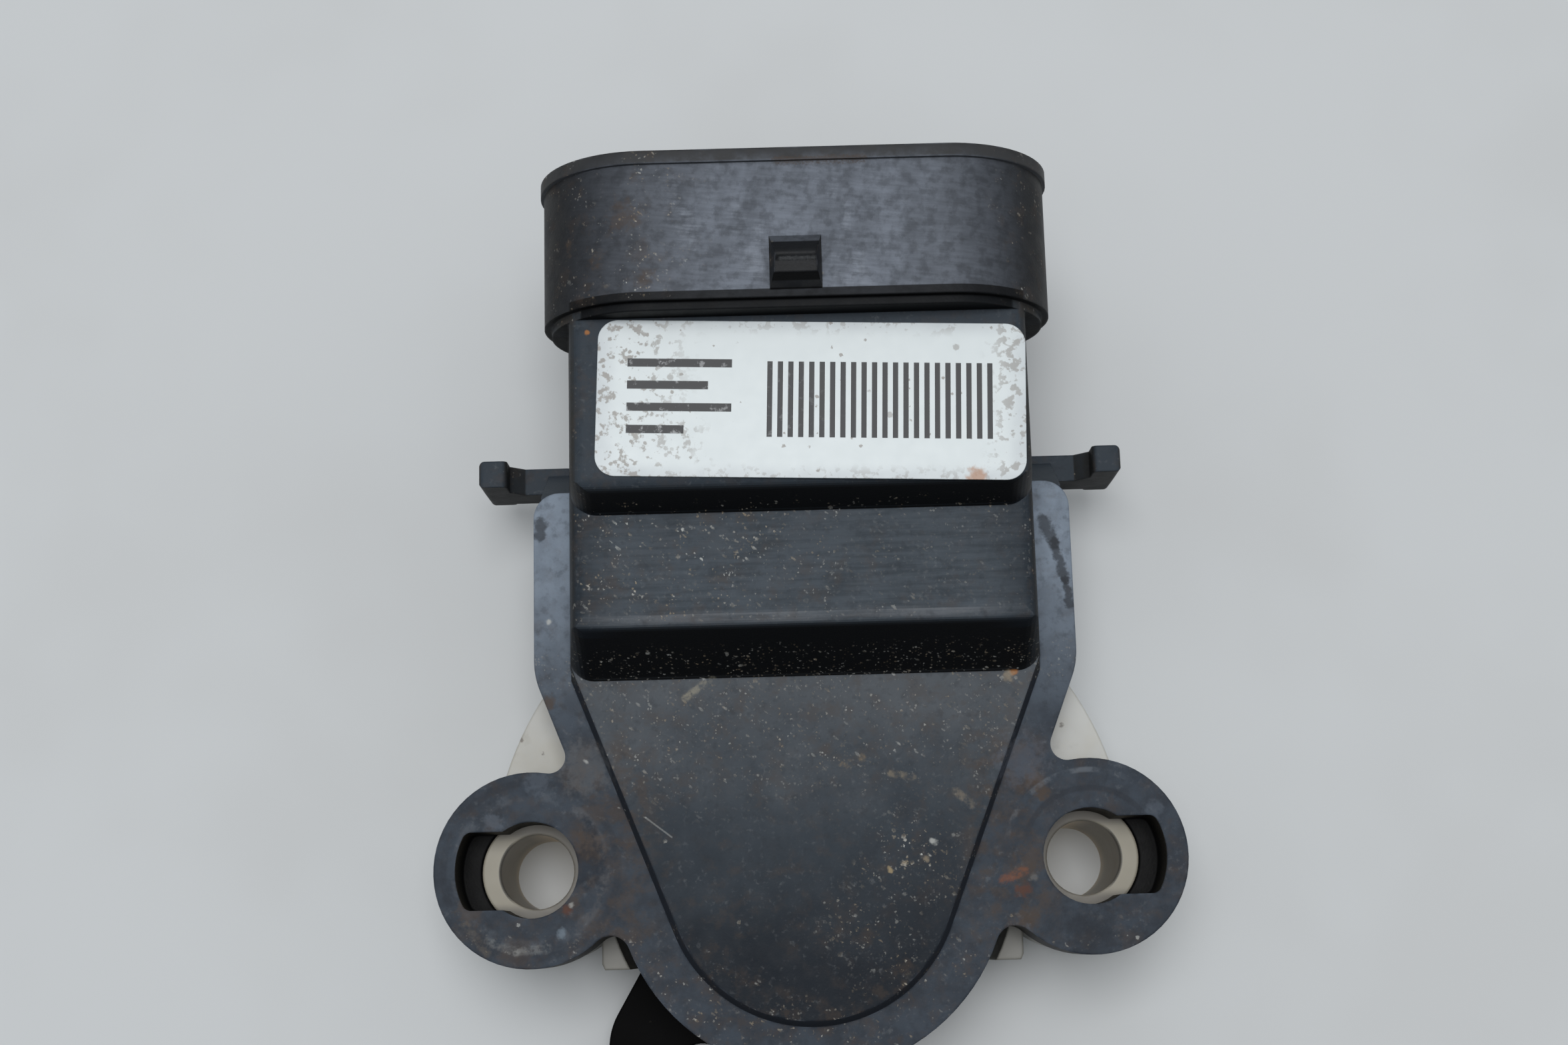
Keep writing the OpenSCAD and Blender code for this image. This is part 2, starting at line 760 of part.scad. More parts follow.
// Bent strip of one terminal: blade, upright leg and foot under the board
module terminal_strip(index, grow) {
    x = (index - 3.5) * terminal_pitch;
    blade_z = shroud_mid_z;
    foot_z = board_z - track_t - blade_t / 2;
    half = blade_t / 2 + grow;
    tip_y = shroud_end_y - tip_back;
    end_y = chamber_end_y - board_play - foot_overlap;
    translate([x, 0, 0]) along_x(blade_w + 2 * grow) polygon([
        [end_y - grow, foot_z - half],
        [leg_y + half, foot_z - half],
        [leg_y + half, blade_z - half],
        [tip_y, blade_z - half],
        [tip_y, blade_z + half],
        [leg_y - half, blade_z + half],
        [leg_y - half, foot_z + half],
        [end_y - grow, foot_z + half]
    ]);
}

// Terminal with its tip tapered for the mating socket
module terminal(index) {
    tip_y = shroud_end_y - tip_back;
    taper_len = 0.9;
    x = (index - 3.5) * terminal_pitch;
    color(tin) intersection() {
        terminal_strip(index, 0);
        linear_extrude(2 * label_z) polygon([
            [x - blade_w, 0],
            [x + blade_w, 0],
            [x + blade_w, tip_y - taper_len],
            [x + blade_w / 2, tip_y - taper_len],
            [x + blade_w / 4, tip_y],
            [x - blade_w / 4, tip_y],
            [x - blade_w / 2, tip_y - taper_len],
            [x - blade_w, tip_y - taper_len]
        ]);
    }
}

// Front housing: one moulding from the connector mouth to the round end
module front_housing() {
    color(black) difference() {
        union() {
            translate([0, 0, base_h]) linear_extrude(flange_t) flange_outline();
            tongue_solid();
            body_block();
            shroud_solid();
            latch_nub();
            side_hooks();
        }
        ear_cut();
        socket_cut();
        body_coring();
        translate([0, 0, base_h - 1]) linear_extrude(roof_z - base_h + 1) chamber_outline(0);
        translate([0, 0, base_h - 1]) linear_extrude(groove_depth + 1) difference() {
            chamber_outline(groove_land + groove_w);
            chamber_outline(groove_land);
        }
        for (i = [1 : 6]) terminal_strip(i, terminal_gap);
    }
}

// Seal that fills the groove between the housing and the base
module cover_seal() {
    color(rubber) translate([0, 0, base_h]) linear_extrude(groove_depth - 0.05) difference() {
        chamber_outline(groove_land + groove_w - 0.05);
        chamber_outline(groove_land + 0.05);
    }
}

// Outline of the base that stands on the bolting plane
module base_outline() {
    intersection() {
        circle(base_r);
        translate([-base_r, 0]) square([2 * base_r, base_r]);
    }
    both_sides() translate(ear_centre) circle(pad_r);
    difference() {
        circle(ring_r);
        circle(ring_r - ring_wall);
        translate([-base_r, -base_r - window_end_y]) square([2 * base_r, base_r]);
        both_sides() translate([window_side_x, -base_r]) square(base_r);
    }
}

// Coring that leaves the rims, the ribs and the ring wall of the base
module base_coring() {
    rib_degs = [60, 90, 120];
    low_deg = 24;
    difference() {
        ring_part(ring_r, base_r - base_rim, low_deg, 180 - low_deg);
        for (a = rib_degs) rotate(a) translate([ring_r - 1, -rib_t / 2]) square([base_r, rib_t]);
        both_sides() translate(ear_centre) circle(pad_r);
    }
}

// Bearing boss, stop posts and spring anchor under the base's floor
module base_bosses() {
    gap_deg = stop_gap / stop_in_r * 180 / PI;
    low_stop = lever_deg - lug_half_deg - gap_deg;
    high_stop = lever_deg + lever_travel + lug_half_deg + gap_deg;
    anchor = spring_anchor_deg + (wire_d / 2 + peg_clear) / peg_in_r * 180 / PI;
    translate([0, 0, boss_z]) cylinder(h = base_h - boss_z, r = boss_r);
    translate([0, 0, boss_z]) linear_extrude(base_h - boss_z) {
        ring_part(stop_in_r, stop_out_r, low_stop - stop_deg, low_stop);
        ring_part(stop_in_r, stop_out_r, high_stop, high_stop + stop_deg);
    }
    translate([0, 0, spring_high_z - wire_d / 2 - 0.1]) linear_extrude(floor_t)
        ring_part(peg_in_r, peg_out_r, anchor, anchor + 2 * peg_half_deg);
}

// Natural nylon base: floor, rims, bolt tubes and the bearing for the shaft
module base_cover() {
    color(nylon) difference() {
        union() {
            difference() {
                union() {
                    linear_extrude(base_h) base_outline();
                    translate([0, 0, floor_z]) cylinder(h = floor_t, r = floor_r);
                }
                translate([0, 0, -1]) cylinder(h = floor_z + 1, r = ring_r - ring_wall);
                translate([0, 0, -1]) linear_extrude(floor_z + 1) base_coring();
                both_sides() translate([ear_x, 0, -1])
                    linear_extrude(pad_coring + 1) difference() {
                        circle(pad_r - pad_wall);
                        circle(tube_r);
                    }
            }
            both_sides() translate([ear_x, 0, 0]) cylinder(h = base_h + bolt_tube_rise, r = tube_r);
            translate([0, 0, base_h - eps]) linear_extrude(locate_rise + eps) difference() {
                chamber_outline(-locate_play);
                chamber_outline(-locate_play - locate_t);
            }
            base_bosses();
        }
        both_sides() translate([ear_x, 0, -1]) cylinder(h = 2 * base_h, d = bolt_hole_d);
        translate([0, 0, -1]) cylinder(h = 2 * base_h, r = bush_r);
    }
}

// Silver label, stuck on a little askew
module label() {
    turned = abs(sin(label_turn)) * (label_w / 2 - label_r) + cos(label_turn) * (label_h / 2 - label_r);
    y = shroud_y - shoulder_len - label_gap - label_r - turned;
    color(silver) translate([label_x, y, label_z]) rotate(label_turn) linear_extrude(label_t) {
        square([label_w - 2 * label_r, label_h], center = true);
        square([label_w, label_h - 2 * label_r], center = true);
        for (sx = [-1, 1], sy = [-1, 1])
            translate([sx * (label_w / 2 - label_r), sy * (label_h / 2 - label_r)]) circle(label_r);
    }
}

// Board that carries the tracks, glued under the chamber's roof
module sensor_board() {
    color(board_tan) translate([0, 0, board_z]) linear_extrude(board_t) chamber_outline(-board_play);
}

// Printed film: two track arcs round the shaft and a pad over each terminal's foot
module resistor_tracks() {
    pad_y = chamber_end_y - board_play - foot_overlap;
    sweep = 240;
    film_t = track_t / 2;
    color(carbon) {
        translate([0, 0, board_z - film_t]) linear_extrude(film_t) chamber_outline(-board_play - film_margin);
        translate([0, 0, board_z - track_t]) linear_extrude(film_t + eps) {
            for (r = [track_inner_r, track_outer_r])
                ring_part(r - track_w / 2, r + track_w / 2, 90 - sweep / 2, 90 + sweep / 2);
            for (i = [1 : 6])
                translate([(i - 3.5) * terminal_pitch - blade_w / 2, pad_y])
                    square([blade_w, foot_overlap - film_margin]);
        }
    }
}

// Bronze bush pressed in the bearing boss
module shaft_bush() {
    low_z = boss_z + seal_len + 0.05;
    color(bronze) translate([0, 0, low_z]) difference() {
        cylinder(h = base_h - low_z, r = bush_r - press_play);
        translate([0, 0, -1]) cylinder(h = base_h, r = shaft_r + shaft_play);
    }
}

// Lip seal at the lever's end of the boss
module shaft_seal() {
    lip_r = shaft_r + shaft_play;
    color(rubber) translate([0, 0, boss_z]) rotate_extrude() polygon([
        [lip_r, 0.5 * seal_len],
        [lip_r + 0.15, 0],
        [bush_r - press_play, 0],
        [bush_r - press_play, seal_len],
        [lip_r + 0.35, seal_len],
        [lip_r, 0.7 * seal_len]
    ]);
}

// Steel shaft with a flat for the lever
module rotor_shaft() {
    flat_x = 0.76 * shaft_r;
    color(steel) difference() {
        translate([0, 0, shaft_foot_z]) cylinder(h = shaft_top_z - shaft_foot_z, r = shaft_r);
        rotate(lever_deg) translate([flat_x, -shaft_r, shaft_foot_z - 1])
            cube([shaft_r, 2 * shaft_r, lever_top_z - shaft_foot_z + 1]);
    }
}

// Thin washer between the base and the carrier's hub
module thrust_washer() {
    color(bronze) translate([0, 0, base_h + 0.05]) difference() {
        cylinder(h = washer_t, r = washer_r);
        translate([0, 0, -1]) cylinder(h = 2, r = shaft_r + shaft_play);
    }
}

// Carrier that turns the wipers under the board
module wiper_carrier() {
    color([0.2, 0.2, 0.21]) difference() {
        union() {
            translate([0, 0, hub_z]) cylinder(h = carrier_z - hub_z + eps, r = carrier_hub_r);
            translate([0, 0, carrier_z]) cylinder(h = carrier_t, r = carrier_r);
        }
        translate([0, 0, hub_z - 1]) cylinder(h = base_h, r = shaft_r + press_play);
    }
}

// Sprung strip that rises from the carrier to a track at radius r
module wiper(r, back_deg) {
    foot_len = 2.2;
    tip_reach = 2.3;
    tip_drop = 0.15;
    top_z = carrier_z + carrier_t;
    tip_z = board_z - track_t - contact_gap;
    rise = tip_z - top_z;
    color(copper) rotate(back_deg) translate([r, 0, top_z]) along_x(wiper_w) polygon([
        [-foot_len, 0],
        [-0.6, 0],
        [1.3, rise - wiper_t - 0.1],
        [1.8, rise - wiper_t],
        [tip_reach, rise - wiper_t - tip_drop],
        [tip_reach, rise - tip_drop],
        [1.8, rise],
        [1.2, rise - 0.1],
        [-0.7, wiper_t],
        [-foot_len, wiper_t]
    ]);
}

// Outline of the lever along +X, taken in all round by inset
module lever_outline(inset) {
    half_w = lever_w / 2 - inset;
    corner_x = lever_reach - lever_corner_r;
    corner_y = lever_w / 2 - lever_corner_r;
    circle(lever_hub_r - inset);
    translate([0, -half_w]) square([corner_x, 2 * half_w]);
    translate([0, -corner_y]) square([lever_reach - inset, 2 * corner_y]);
    for (side = [-1, 1]) translate([corner_x, side * corner_y]) circle(lever_corner_r - inset);
}

// Black lever with its eye, stop lug and spring peg
module drive_lever() {
    eye_boss_r = lever_eye_r + 1.3;
    hub_boss_r = nut_r + 0.5;
    peg_deg = spring_leg_deg - (wire_d / 2 + peg_clear) / peg_in_r * 180 / PI;
    color(black) rotate(lever_deg) difference() {
        union() {
            translate([0, 0, lever_lift]) linear_extrude(lever_t) lever_outline(0);
            translate([0, 0, lever_top_z - eps]) {
                linear_extrude(lug_rise) ring_part(stop_in_r, stop_out_r, -lug_half_deg, lug_half_deg);
                linear_extrude(wire_d + 0.2) ring_part(peg_in_r - 0.5, peg_out_r, peg_deg - 2 * peg_half_deg, peg_deg);
            }
        }
        translate([0, 0, lever_lift - 1]) linear_extrude(lever_pocket + 1) difference() {
            lever_outline(lever_rim);
            circle(hub_boss_r);
            translate([eye_reach, 0]) circle(eye_boss_r);
            translate([0, -rib_t / 2]) square([eye_reach, rib_t]);
        }
        translate([eye_reach, 0, 0]) cylinder(h = base_h, r = lever_eye_r);
        intersection() {
            cylinder(h = base_h, r = shaft_r + press_play);
            translate([-base_h, -base_h, 0]) cube([base_h + 0.76 * shaft_r + press_play, 2 * base_h, base_h]);
        }
    }
}

// Toothed push nut on the shaft's end
module push_nut() {
    teeth = 6;
    color(steel) translate([0, 0, lever_lift - nut_t]) linear_extrude(nut_t) difference() {
        circle(nut_r);
        circle(shaft_r + press_play);
        for (i = [0 : teeth - 1]) rotate(i * 360 / teeth) translate([0, -0.25]) square([shaft_r + 1, 0.5]);
    }
}

// Centre line of the return spring: leg, coil and leg
function spring_path() =
    let (
        turns_steps = 56,
        rise = spring_high_z - spring_low_z,
        blend_r = 0.9
    )
    concat(
        [for (r = [spring_leg_r, spring_r + blend_r])
            [r * cos(spring_start_deg), r * sin(spring_start_deg), spring_low_z]],
        [for (i = [0 : turns_steps])
            let (
                t = i / turns_steps,
                ramp = min(max((t - 0.02) / 0.96, 0), 1),
                a = spring_start_deg - 6 + (spring_turn_deg + 12) * t
            )
            [spring_r * cos(a), spring_r * sin(a), spring_low_z + rise * ramp]],
        [for (r = [spring_r + blend_r, spring_leg_r])
            [r * cos(spring_anchor_deg), r * sin(spring_anchor_deg), spring_high_z]]
    );

// Sweeps a round wire along a path, with one ring at each point
module wire_sweep(path, d, sides) {
    n = len(path);
    rings = [
        for (i = [0 : n - 1])
            let (
                along = unit(path[min(i + 1, n - 1)] - path[max(i - 1, 0)]),
                up = unit([0, 0, 1] - along * along[2]),
                across = cross(up, along)
            )
            for (k = [0 : sides - 1])
                path[i] + d / 2 * (across * cos(360 * k / sides) + up * sin(360 * k / sides))
    ];
    faces = concat(
        [[for (k = [0 : sides - 1]) k]],
        [for (i = [0 : n - 2], k = [0 : sides - 1])
            let (a = i * sides + k, b = i * sides + (k + 1) % sides)
            [a, a + sides, b + sides, b]],
        [[for (k = [sides - 1 : -1 : 0]) (n - 1) * sides + k]]
    );
    polyhedron(points = rings, faces = faces, convexity = 8);
}

// Torsion spring round the bearing boss, which turns the lever back to rest
module return_spring() {
    color(steel) wire_sweep(spring_path(), wire_d, 10);
}

front_housing();
base_cover();
label();
cover_seal();
terminal(1);  // terminal_1
terminal(2);  // terminal_2
terminal(3);  // terminal_3
terminal(4);  // terminal_4
terminal(5);  // terminal_5
terminal(6);  // terminal_6
sensor_board();
resistor_tracks();
shaft_bush();
shaft_seal();
rotor_shaft();
thrust_washer();
wiper_carrier();
wiper(track_inner_r, 120);  // wiper_inner
wiper(track_outer_r, 200);  // wiper_outer
drive_lever();
push_nut();
return_spring();
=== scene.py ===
"""Looks of a throttle position sensor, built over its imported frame.

The frame's solids keep their shapes and get node materials here. The return
spring and the bars printed on the label are meshes of their own. Sizes and
places are in millimetres, and the scene itself is in metres.
"""

import logging
import math
from dataclasses import dataclass
from enum import Enum
from typing import Any, Sequence

import bpy
from mathutils import Matrix, Vector

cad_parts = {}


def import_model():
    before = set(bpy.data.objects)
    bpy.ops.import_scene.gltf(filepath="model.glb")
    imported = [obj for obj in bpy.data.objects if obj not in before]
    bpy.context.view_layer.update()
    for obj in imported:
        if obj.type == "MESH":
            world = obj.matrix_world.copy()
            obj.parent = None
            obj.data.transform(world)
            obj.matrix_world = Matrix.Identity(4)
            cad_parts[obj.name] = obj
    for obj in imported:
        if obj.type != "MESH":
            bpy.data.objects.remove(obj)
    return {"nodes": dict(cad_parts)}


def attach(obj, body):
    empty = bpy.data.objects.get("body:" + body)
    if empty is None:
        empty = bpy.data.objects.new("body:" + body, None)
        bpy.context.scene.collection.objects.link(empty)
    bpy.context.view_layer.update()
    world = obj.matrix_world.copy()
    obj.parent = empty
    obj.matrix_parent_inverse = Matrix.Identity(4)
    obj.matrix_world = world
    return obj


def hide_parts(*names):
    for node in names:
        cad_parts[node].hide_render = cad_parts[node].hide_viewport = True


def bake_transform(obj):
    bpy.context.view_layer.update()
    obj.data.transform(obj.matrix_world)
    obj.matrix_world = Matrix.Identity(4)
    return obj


frame: dict[str, Any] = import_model()

LOG = logging.getLogger("sensor")
MM = 0.001
FLANGE_Z = 12.5
TONGUE_Z = 13.3
EAR_X = 17.0
PLAIN = (1.0, 1.0, 1.0)
Colour = tuple[float, float, float]
Point = tuple[float, float, float]
Pair = tuple[float, float]
Socket = bpy.types.NodeSocket
Value = Socket | float | Sequence[float]
Place = Socket | None
Inputs = dict[int | str, Value]
Material = bpy.types.Material


class Body(Enum):
    """Bodies of the frame that pieces ride on."""

    HOUSING = "housing"
    ROTOR = "rotor"


class Slot(Enum):
    """Material slots of the record."""

    HOUSING_BLACK = "housing_black"
    LEVER_BLACK = "lever_black"
    NATURAL_NYLON = "natural_nylon"
    LABEL_SILVER = "label_silver"
    SEAL_RUBBER = "seal_rubber"
    TINNED_CONTACT = "tinned_contact"
    BOARD = "board"
    TRACK_FILM = "track_film"
    BRONZE = "bronze"
    BRIGHT_STEEL = "bright_steel"
    SPRING_STEEL = "spring_steel"
    CARRIER_GREY = "carrier_grey"
    CONTACT_ALLOY = "contact_alloy"


def rgba(colour: Value) -> Value:
    """Returns a plain colour with its fourth part, or the socket as it is."""
    return colour if isinstance(colour, Socket) else (*colour, 1.0)


class Graph:
    """Node tree of one material or world, written as calls that return sockets.

    Places and lengths are in millimetres, and colour holds the colour so far.
    """

    def __init__(self, owner: Material | bpy.types.World, coordinate: str = "Object",
                 scale: float = 1.0 / MM) -> None:
        """Starts an empty tree.

        Args:
            owner: The material or world that the tree belongs to.
            coordinate: The place's kind.
            scale: What the place is multiplied by, which makes metres millimetres.
        """
        owner.use_nodes = True
        self.owner = owner
        self.nodes = owner.node_tree.nodes
        self.links = owner.node_tree.links
        self.nodes.clear()
        place = self.add("ShaderNodeTexCoord").outputs[coordinate]
        self.place = self.vector("MULTIPLY", place, (scale,) * 3)
        self.x, self.y, self.z = self.parts(self.place)
        self.colour: Value = (0.0, 0.0, 0.0)

    def add(self, kind: str, values: Inputs | None = None, **settings: Any) -> bpy.types.Node:
        """Adds a node.

        Args:
            kind: The node's type.
            values: What goes into its inputs: sockets are linked, other values are set.
            settings: The node's own properties.

        Returns:
            The new node.
        """
        node = self.nodes.new(kind)
        for key, setting in settings.items():
            setattr(node, key, setting)
        for key, value in (values or {}).items():
            if isinstance(value, Socket):
                self.links.new(value, node.inputs[key])
            else:
                node.inputs[key].default_value = value
        return node

    def math(self, operation: str, a: Value, b: Value = 0.0) -> Socket:
        """Returns the result of one sum on two values."""
        return self.add("ShaderNodeMath", {0: a, 1: b}, operation=operation).outputs[0]

    def vector(self, operation: str, a: Value, b: Value, output: str = "Vector") -> Socket:
        """Returns the result of one sum on two vectors."""
        return self.add("ShaderNodeVectorMath", {0: a, 1: b}, operation=operation).outputs[output]

    def parts(self, vector: Socket) -> tuple[Socket, Socket, Socket]:
        """Returns a vector's parts along X, Y and Z."""
        return tuple(self.add("ShaderNodeSeparateXYZ", {0: vector}).outputs)

    def absolute(self, value: Value) -> Socket:
        """Returns a value without its sign."""
        return self.math("ABSOLUTE", value)

    def ramp(self, value: Value, low: float, high: float) -> Socket:
        """Turns a value into a soft mask.

        Args:
            value: What is measured.
            low: Where the mask is 0.
            high: Where the mask is 1, above or below low.

        Returns:
            The mask.
        """
        inputs = {"Value": value, "From Min": low, "From Max": high}
        return self.add("ShaderNodeMapRange", inputs, interpolation_type="SMOOTHSTEP").outputs[0]

    def fade(self, value: Socket, ends: Pair, values: Pair) -> Socket:
        """Returns a number that goes from one of two values to the other between two ends."""
        keys = ("Value", "From Min", "From Max", "To Min", "To Max")
        return self.add("ShaderNodeMapRange", dict(zip(keys, (value, *ends, *values)))).outputs[0]

    def all_of(self, *masks: Value) -> Value:
        """Multiplies masks or factors.

        Args:
            masks: masks or factors.

        Returns:
            Their product.
        """
        product = masks[0]
        for mask in masks[1:]:
            product = self.math("MULTIPLY", product, mask)
        return product

    def any_of(self, *masks: Value) -> Value:
        """Takes the largest of the masks.

        Args:
            masks: masks or factors.

        Returns:
            The largest at each place.
        """
        largest = masks[0]
        for mask in masks[1:]:
            largest = self.math("MAXIMUM", largest, mask)
        return largest

    def without(self, mask: Value) -> Socket:
        """Returns the opposite of a mask."""
        return self.math("SUBTRACT", 1.0, mask)

    def mix(self, mask: Value, a: Value, b: Value) -> Socket:
        """Returns a number between a and b."""
        return self.add("ShaderNodeMix", {0: mask, 2: a, 3: b}).outputs[0]

    def paint(self, under: Value, over: Value, mask: Value) -> Socket:
        """Returns one colour with another laid over it where the mask shows."""
        colours = {6: rgba(under), 7: rgba(over)}
        return self.add("ShaderNodeMix", {0: mask, **colours}, data_type="RGBA").outputs[2]

    def lay(self, over: Value, *masks: Value) -> None:
        """Lays a colour over the colour so far, where all the masks show."""
        self.colour = self.paint(self.colour, over, self.all_of(*masks))

    def turned(self, vector: Socket, degrees: float) -> Socket:
        """Returns a vector turned about Z."""
        inputs = {"Vector": vector, "Angle": math.radians(degrees)}
        return self.add("ShaderNodeVectorRotate", inputs, rotation_type="Z_AXIS").outputs[0]

    def stretched(self, factors: Sequence[float], turn_deg: float = 0.0) -> Socket:
        """Returns the place turned about Z and stretched along each axis."""
        return self.vector("MULTIPLY", self.turned(self.place, turn_deg), factors)

    def noise(self, size: float, detail: float = 3.0, where: Place = None, output: int = 0) -> Socket:
        """Returns noise whose lumps are about size millimetres across."""
        inputs = {"Vector": where or self.place, "Scale": 1.0 / size, "Detail": detail, "Roughness": 0.6}
        return self.add("ShaderNodeTexNoise", inputs).outputs[output]

    def patches(self, low: float, high: float, size: float, detail: float = 3.0) -> Socket:
        """Masks the lumps of noise, soft between two of its levels."""
        return self.ramp(self.noise(size, detail), low, high)

    def wander(self, size: float) -> Socket:
        """Returns a vector that wanders about zero in lumps of about size millimetres."""
        return self.vector("SUBTRACT", self.noise(size, output=1), (0.5, 0.5, 0.5))

    def shifted(self, wander: Socket, reach: float, where: Place = None) -> Socket:
        """Returns the place moved along a wandering vector, by up to about reach millimetres."""
        inputs = {0: wander, 1: (2.0 * reach,) * 3, 2: where or self.place}
        return self.add("ShaderNodeVectorMath", inputs, operation="MULTIPLY_ADD").outputs[0]

    def specks(self, cell: float, radius: float, share: float, where: Place = None) -> Socket:
        """Scatters small particles.

        Args:
            cell: Size of the cells that hold one particle each.
            radius: Particle radius as a part of the cell.
            share: Part of the cells that hold a particle.
            where: Place to use instead of the object's own.

        Returns:
            Mask of the particles.
        """
        inputs = {"Vector": where or self.place, "Scale": 1.0 / cell, "Randomness": 1.0}
        cells = self.add("ShaderNodeTexVoronoi", inputs)
        chance = self.add("ShaderNodeSeparateColor", {0: cells.outputs["Color"]}).outputs
        size = self.math("MULTIPLY", self.math("ADD", chance[1], 0.35), radius)
        near = self.ramp(self.math("SUBTRACT", cells.outputs["Distance"], size), 0.0, -0.4 * radius)
        return self.all_of(near, self.math("LESS_THAN", chance[0], share))

    def radius_from(self, x: float, y: float) -> Socket:
        """Returns the distance to an upright axis through x and y."""
        across, along = self.math("SUBTRACT", self.x, x), self.math("SUBTRACT", self.y, y)
        return self.math("SQRT", self.math("ADD", self.all_of(across, across), self.all_of(along, along)))

    def spot(self, centre: Point, radius: float, where: Place = None) -> Socket:
        """Masks a round stain with a soft edge, on the place or on another such as a shifted one."""
        gap = self.vector("DISTANCE", where or self.place, centre, "Value")
        return self.ramp(gap, radius, 0.35 * radius)

    def stroke(self, start: Point, end: Point, width: float, where: Place = None) -> Socket:
        """Masks a straight scratch or fibre.

        Args:
            start: One end.
            end: The other end.
            width: Width of the mark.
            where: Place to use instead of the object's own, such as a shifted one.

        Returns:
            Mask of the mark.
        """
        run = Vector(end) - Vector(start)
        offset = self.vector("SUBTRACT", where or self.place, start)
        reach = self.vector("DOT_PRODUCT", offset, run / run.length_squared, "Value")
        part = self.add("ShaderNodeClamp", {0: reach}).outputs[0]
        gap = self.vector("DISTANCE", offset, self.vector("MULTIPLY", part, run), "Value")
        return self.ramp(gap, 0.7 * width, 0.25 * width)

    def ring(self, x: float, radius: float, width: float) -> Socket:
        """Masks a thin ring round the upright axis at x on the line of the ears."""
        off = self.math("SUBTRACT", self.radius_from(x, 0.0), radius)
        return self.ramp(self.absolute(off), 0.5 * width, 0.2 * width)

    def band(self, value: Socket, low: float, high: float, soft: float) -> Socket:
        """Masks the values between low and high."""
        return self.all_of(self.ramp(value, low - soft, low), self.ramp(value, high + soft, high))


class Skin(Graph):
    """Node tree of a surface, with its normal and a mask of the faces that look up."""

    def __init__(self, name: str) -> None:
        """Starts the tree of a new material.

        Args:
            name: the material's name.
        """
        super().__init__(bpy.data.materials.new(name))
        self.facing = self.add("ShaderNodeNewGeometry").outputs["Normal"]
        self.facing_x, self.facing_y, self.facing_z = self.parts(self.facing)
        self.up = self.ramp(self.facing_z, 0.6, 0.9)

    def flat_at(self, height: float, half: float = 0.1) -> Socket:
        """Masks the faces that look up at a height, give or take half."""
        return self.all_of(self.up, self.band(self.z, height - half, height + half, half))

    def soft_normal(self, radius: float) -> Socket:
        """Returns the normal as if each sharp edge were rounded by radius millimetres."""
        return self.add("ShaderNodeBevel", {"Radius": radius * MM}, samples=6).outputs[0]

    def edges(self, rounded: Socket) -> Socket:
        """Masks the sharp edges, where the rounded normal leaves the true one."""
        return self.ramp(self.vector("DOT_PRODUCT", rounded, self.facing, "Value"), 0.985, 0.86)

    def bump(self, height: Value, depth: float, normal: Socket | None = None) -> Socket:
        """Raises a surface by its normal only.

        Args:
            height: where the surface is raised, 0 to 1.
            depth: how far it is raised, in millimetres.
            normal: the normal to start from, or None for the true one.

        Returns:
            The raised surface's normal.
        """
        inputs: Inputs = {"Height": height, "Distance": depth * MM, "Strength": 1.0}
        if normal is not None:
            inputs["Normal"] = normal
        return self.add("ShaderNodeBump", inputs).outputs[0]

    def surface(self, roughness: Value, normal: Socket, **constants: Any) -> Material:
        """Ends the tree with its shader.

        Args:
            roughness: Roughness.
            normal: Surface normal.
            constants: Settings that are the same all over, by the socket's name with _ for a space.

        Returns:
            The finished material.
        """
        inputs = {"Base Color": rgba(self.colour), "Roughness": roughness, "Normal": normal}
        inputs.update({key.replace("_", " "): value for key, value in constants.items()})
        shader = self.add("ShaderNodeBsdfPrincipled", inputs)
        self.add("ShaderNodeOutputMaterial", {"Surface": shader.outputs[0]})
        return self.owner


@dataclass(frozen=True)
class Stain:
    """Round mark with a soft, ragged edge, lighter or darker than what is under it."""

    x: float
    y: float
    radius: float
    colour: Colour
    strength: float
    z: float = FLANGE_Z


@dataclass(frozen=True)
class Scratch:
    """Thin straight mark, or one straight part of a bent one."""

    start: Pair
    end: Pair
    width: float
    colour: Colour
    strength: float
    start_z: float = FLANGE_Z
    end_z: float = FLANGE_Z

    def mask(self, g: Graph, wander: Socket, reach: float) -> Socket:
        """Masks the mark on a place that is moved along a wandering vector, by up to reach."""
        ends = (*self.start, self.start_z), (*self.end, self.end_z)
        return g.stroke(*ends, self.width, g.shifted(wander, reach))


RUST = (0.1, 0.042, 0.027)
ORANGE = (0.34, 0.145, 0.05)
TAN = (0.33, 0.27, 0.19)
CHALK = (0.5, 0.51, 0.49)
BROWN = (0.07, 0.05, 0.037)
# Near-black of painted shade: laid on faces that look to the front, on the floors of the ears' slots and on
# the shroud's back lip.
SHADE_BLACK = (0.0035, 0.0036, 0.004)
SLATE = (0.1, 0.12, 0.15)
GOUGED = (0.026, 0.029, 0.035)
ON_TONGUE = (TONGUE_Z, TONGUE_Z)


@dataclass(frozen=True)
class Finish:
    """Finish of a piece: the record's slot, and the way to make its material."""

    slot: Slot

    def material(self) -> Material:
        """Makes the material."""
        raise NotImplementedError


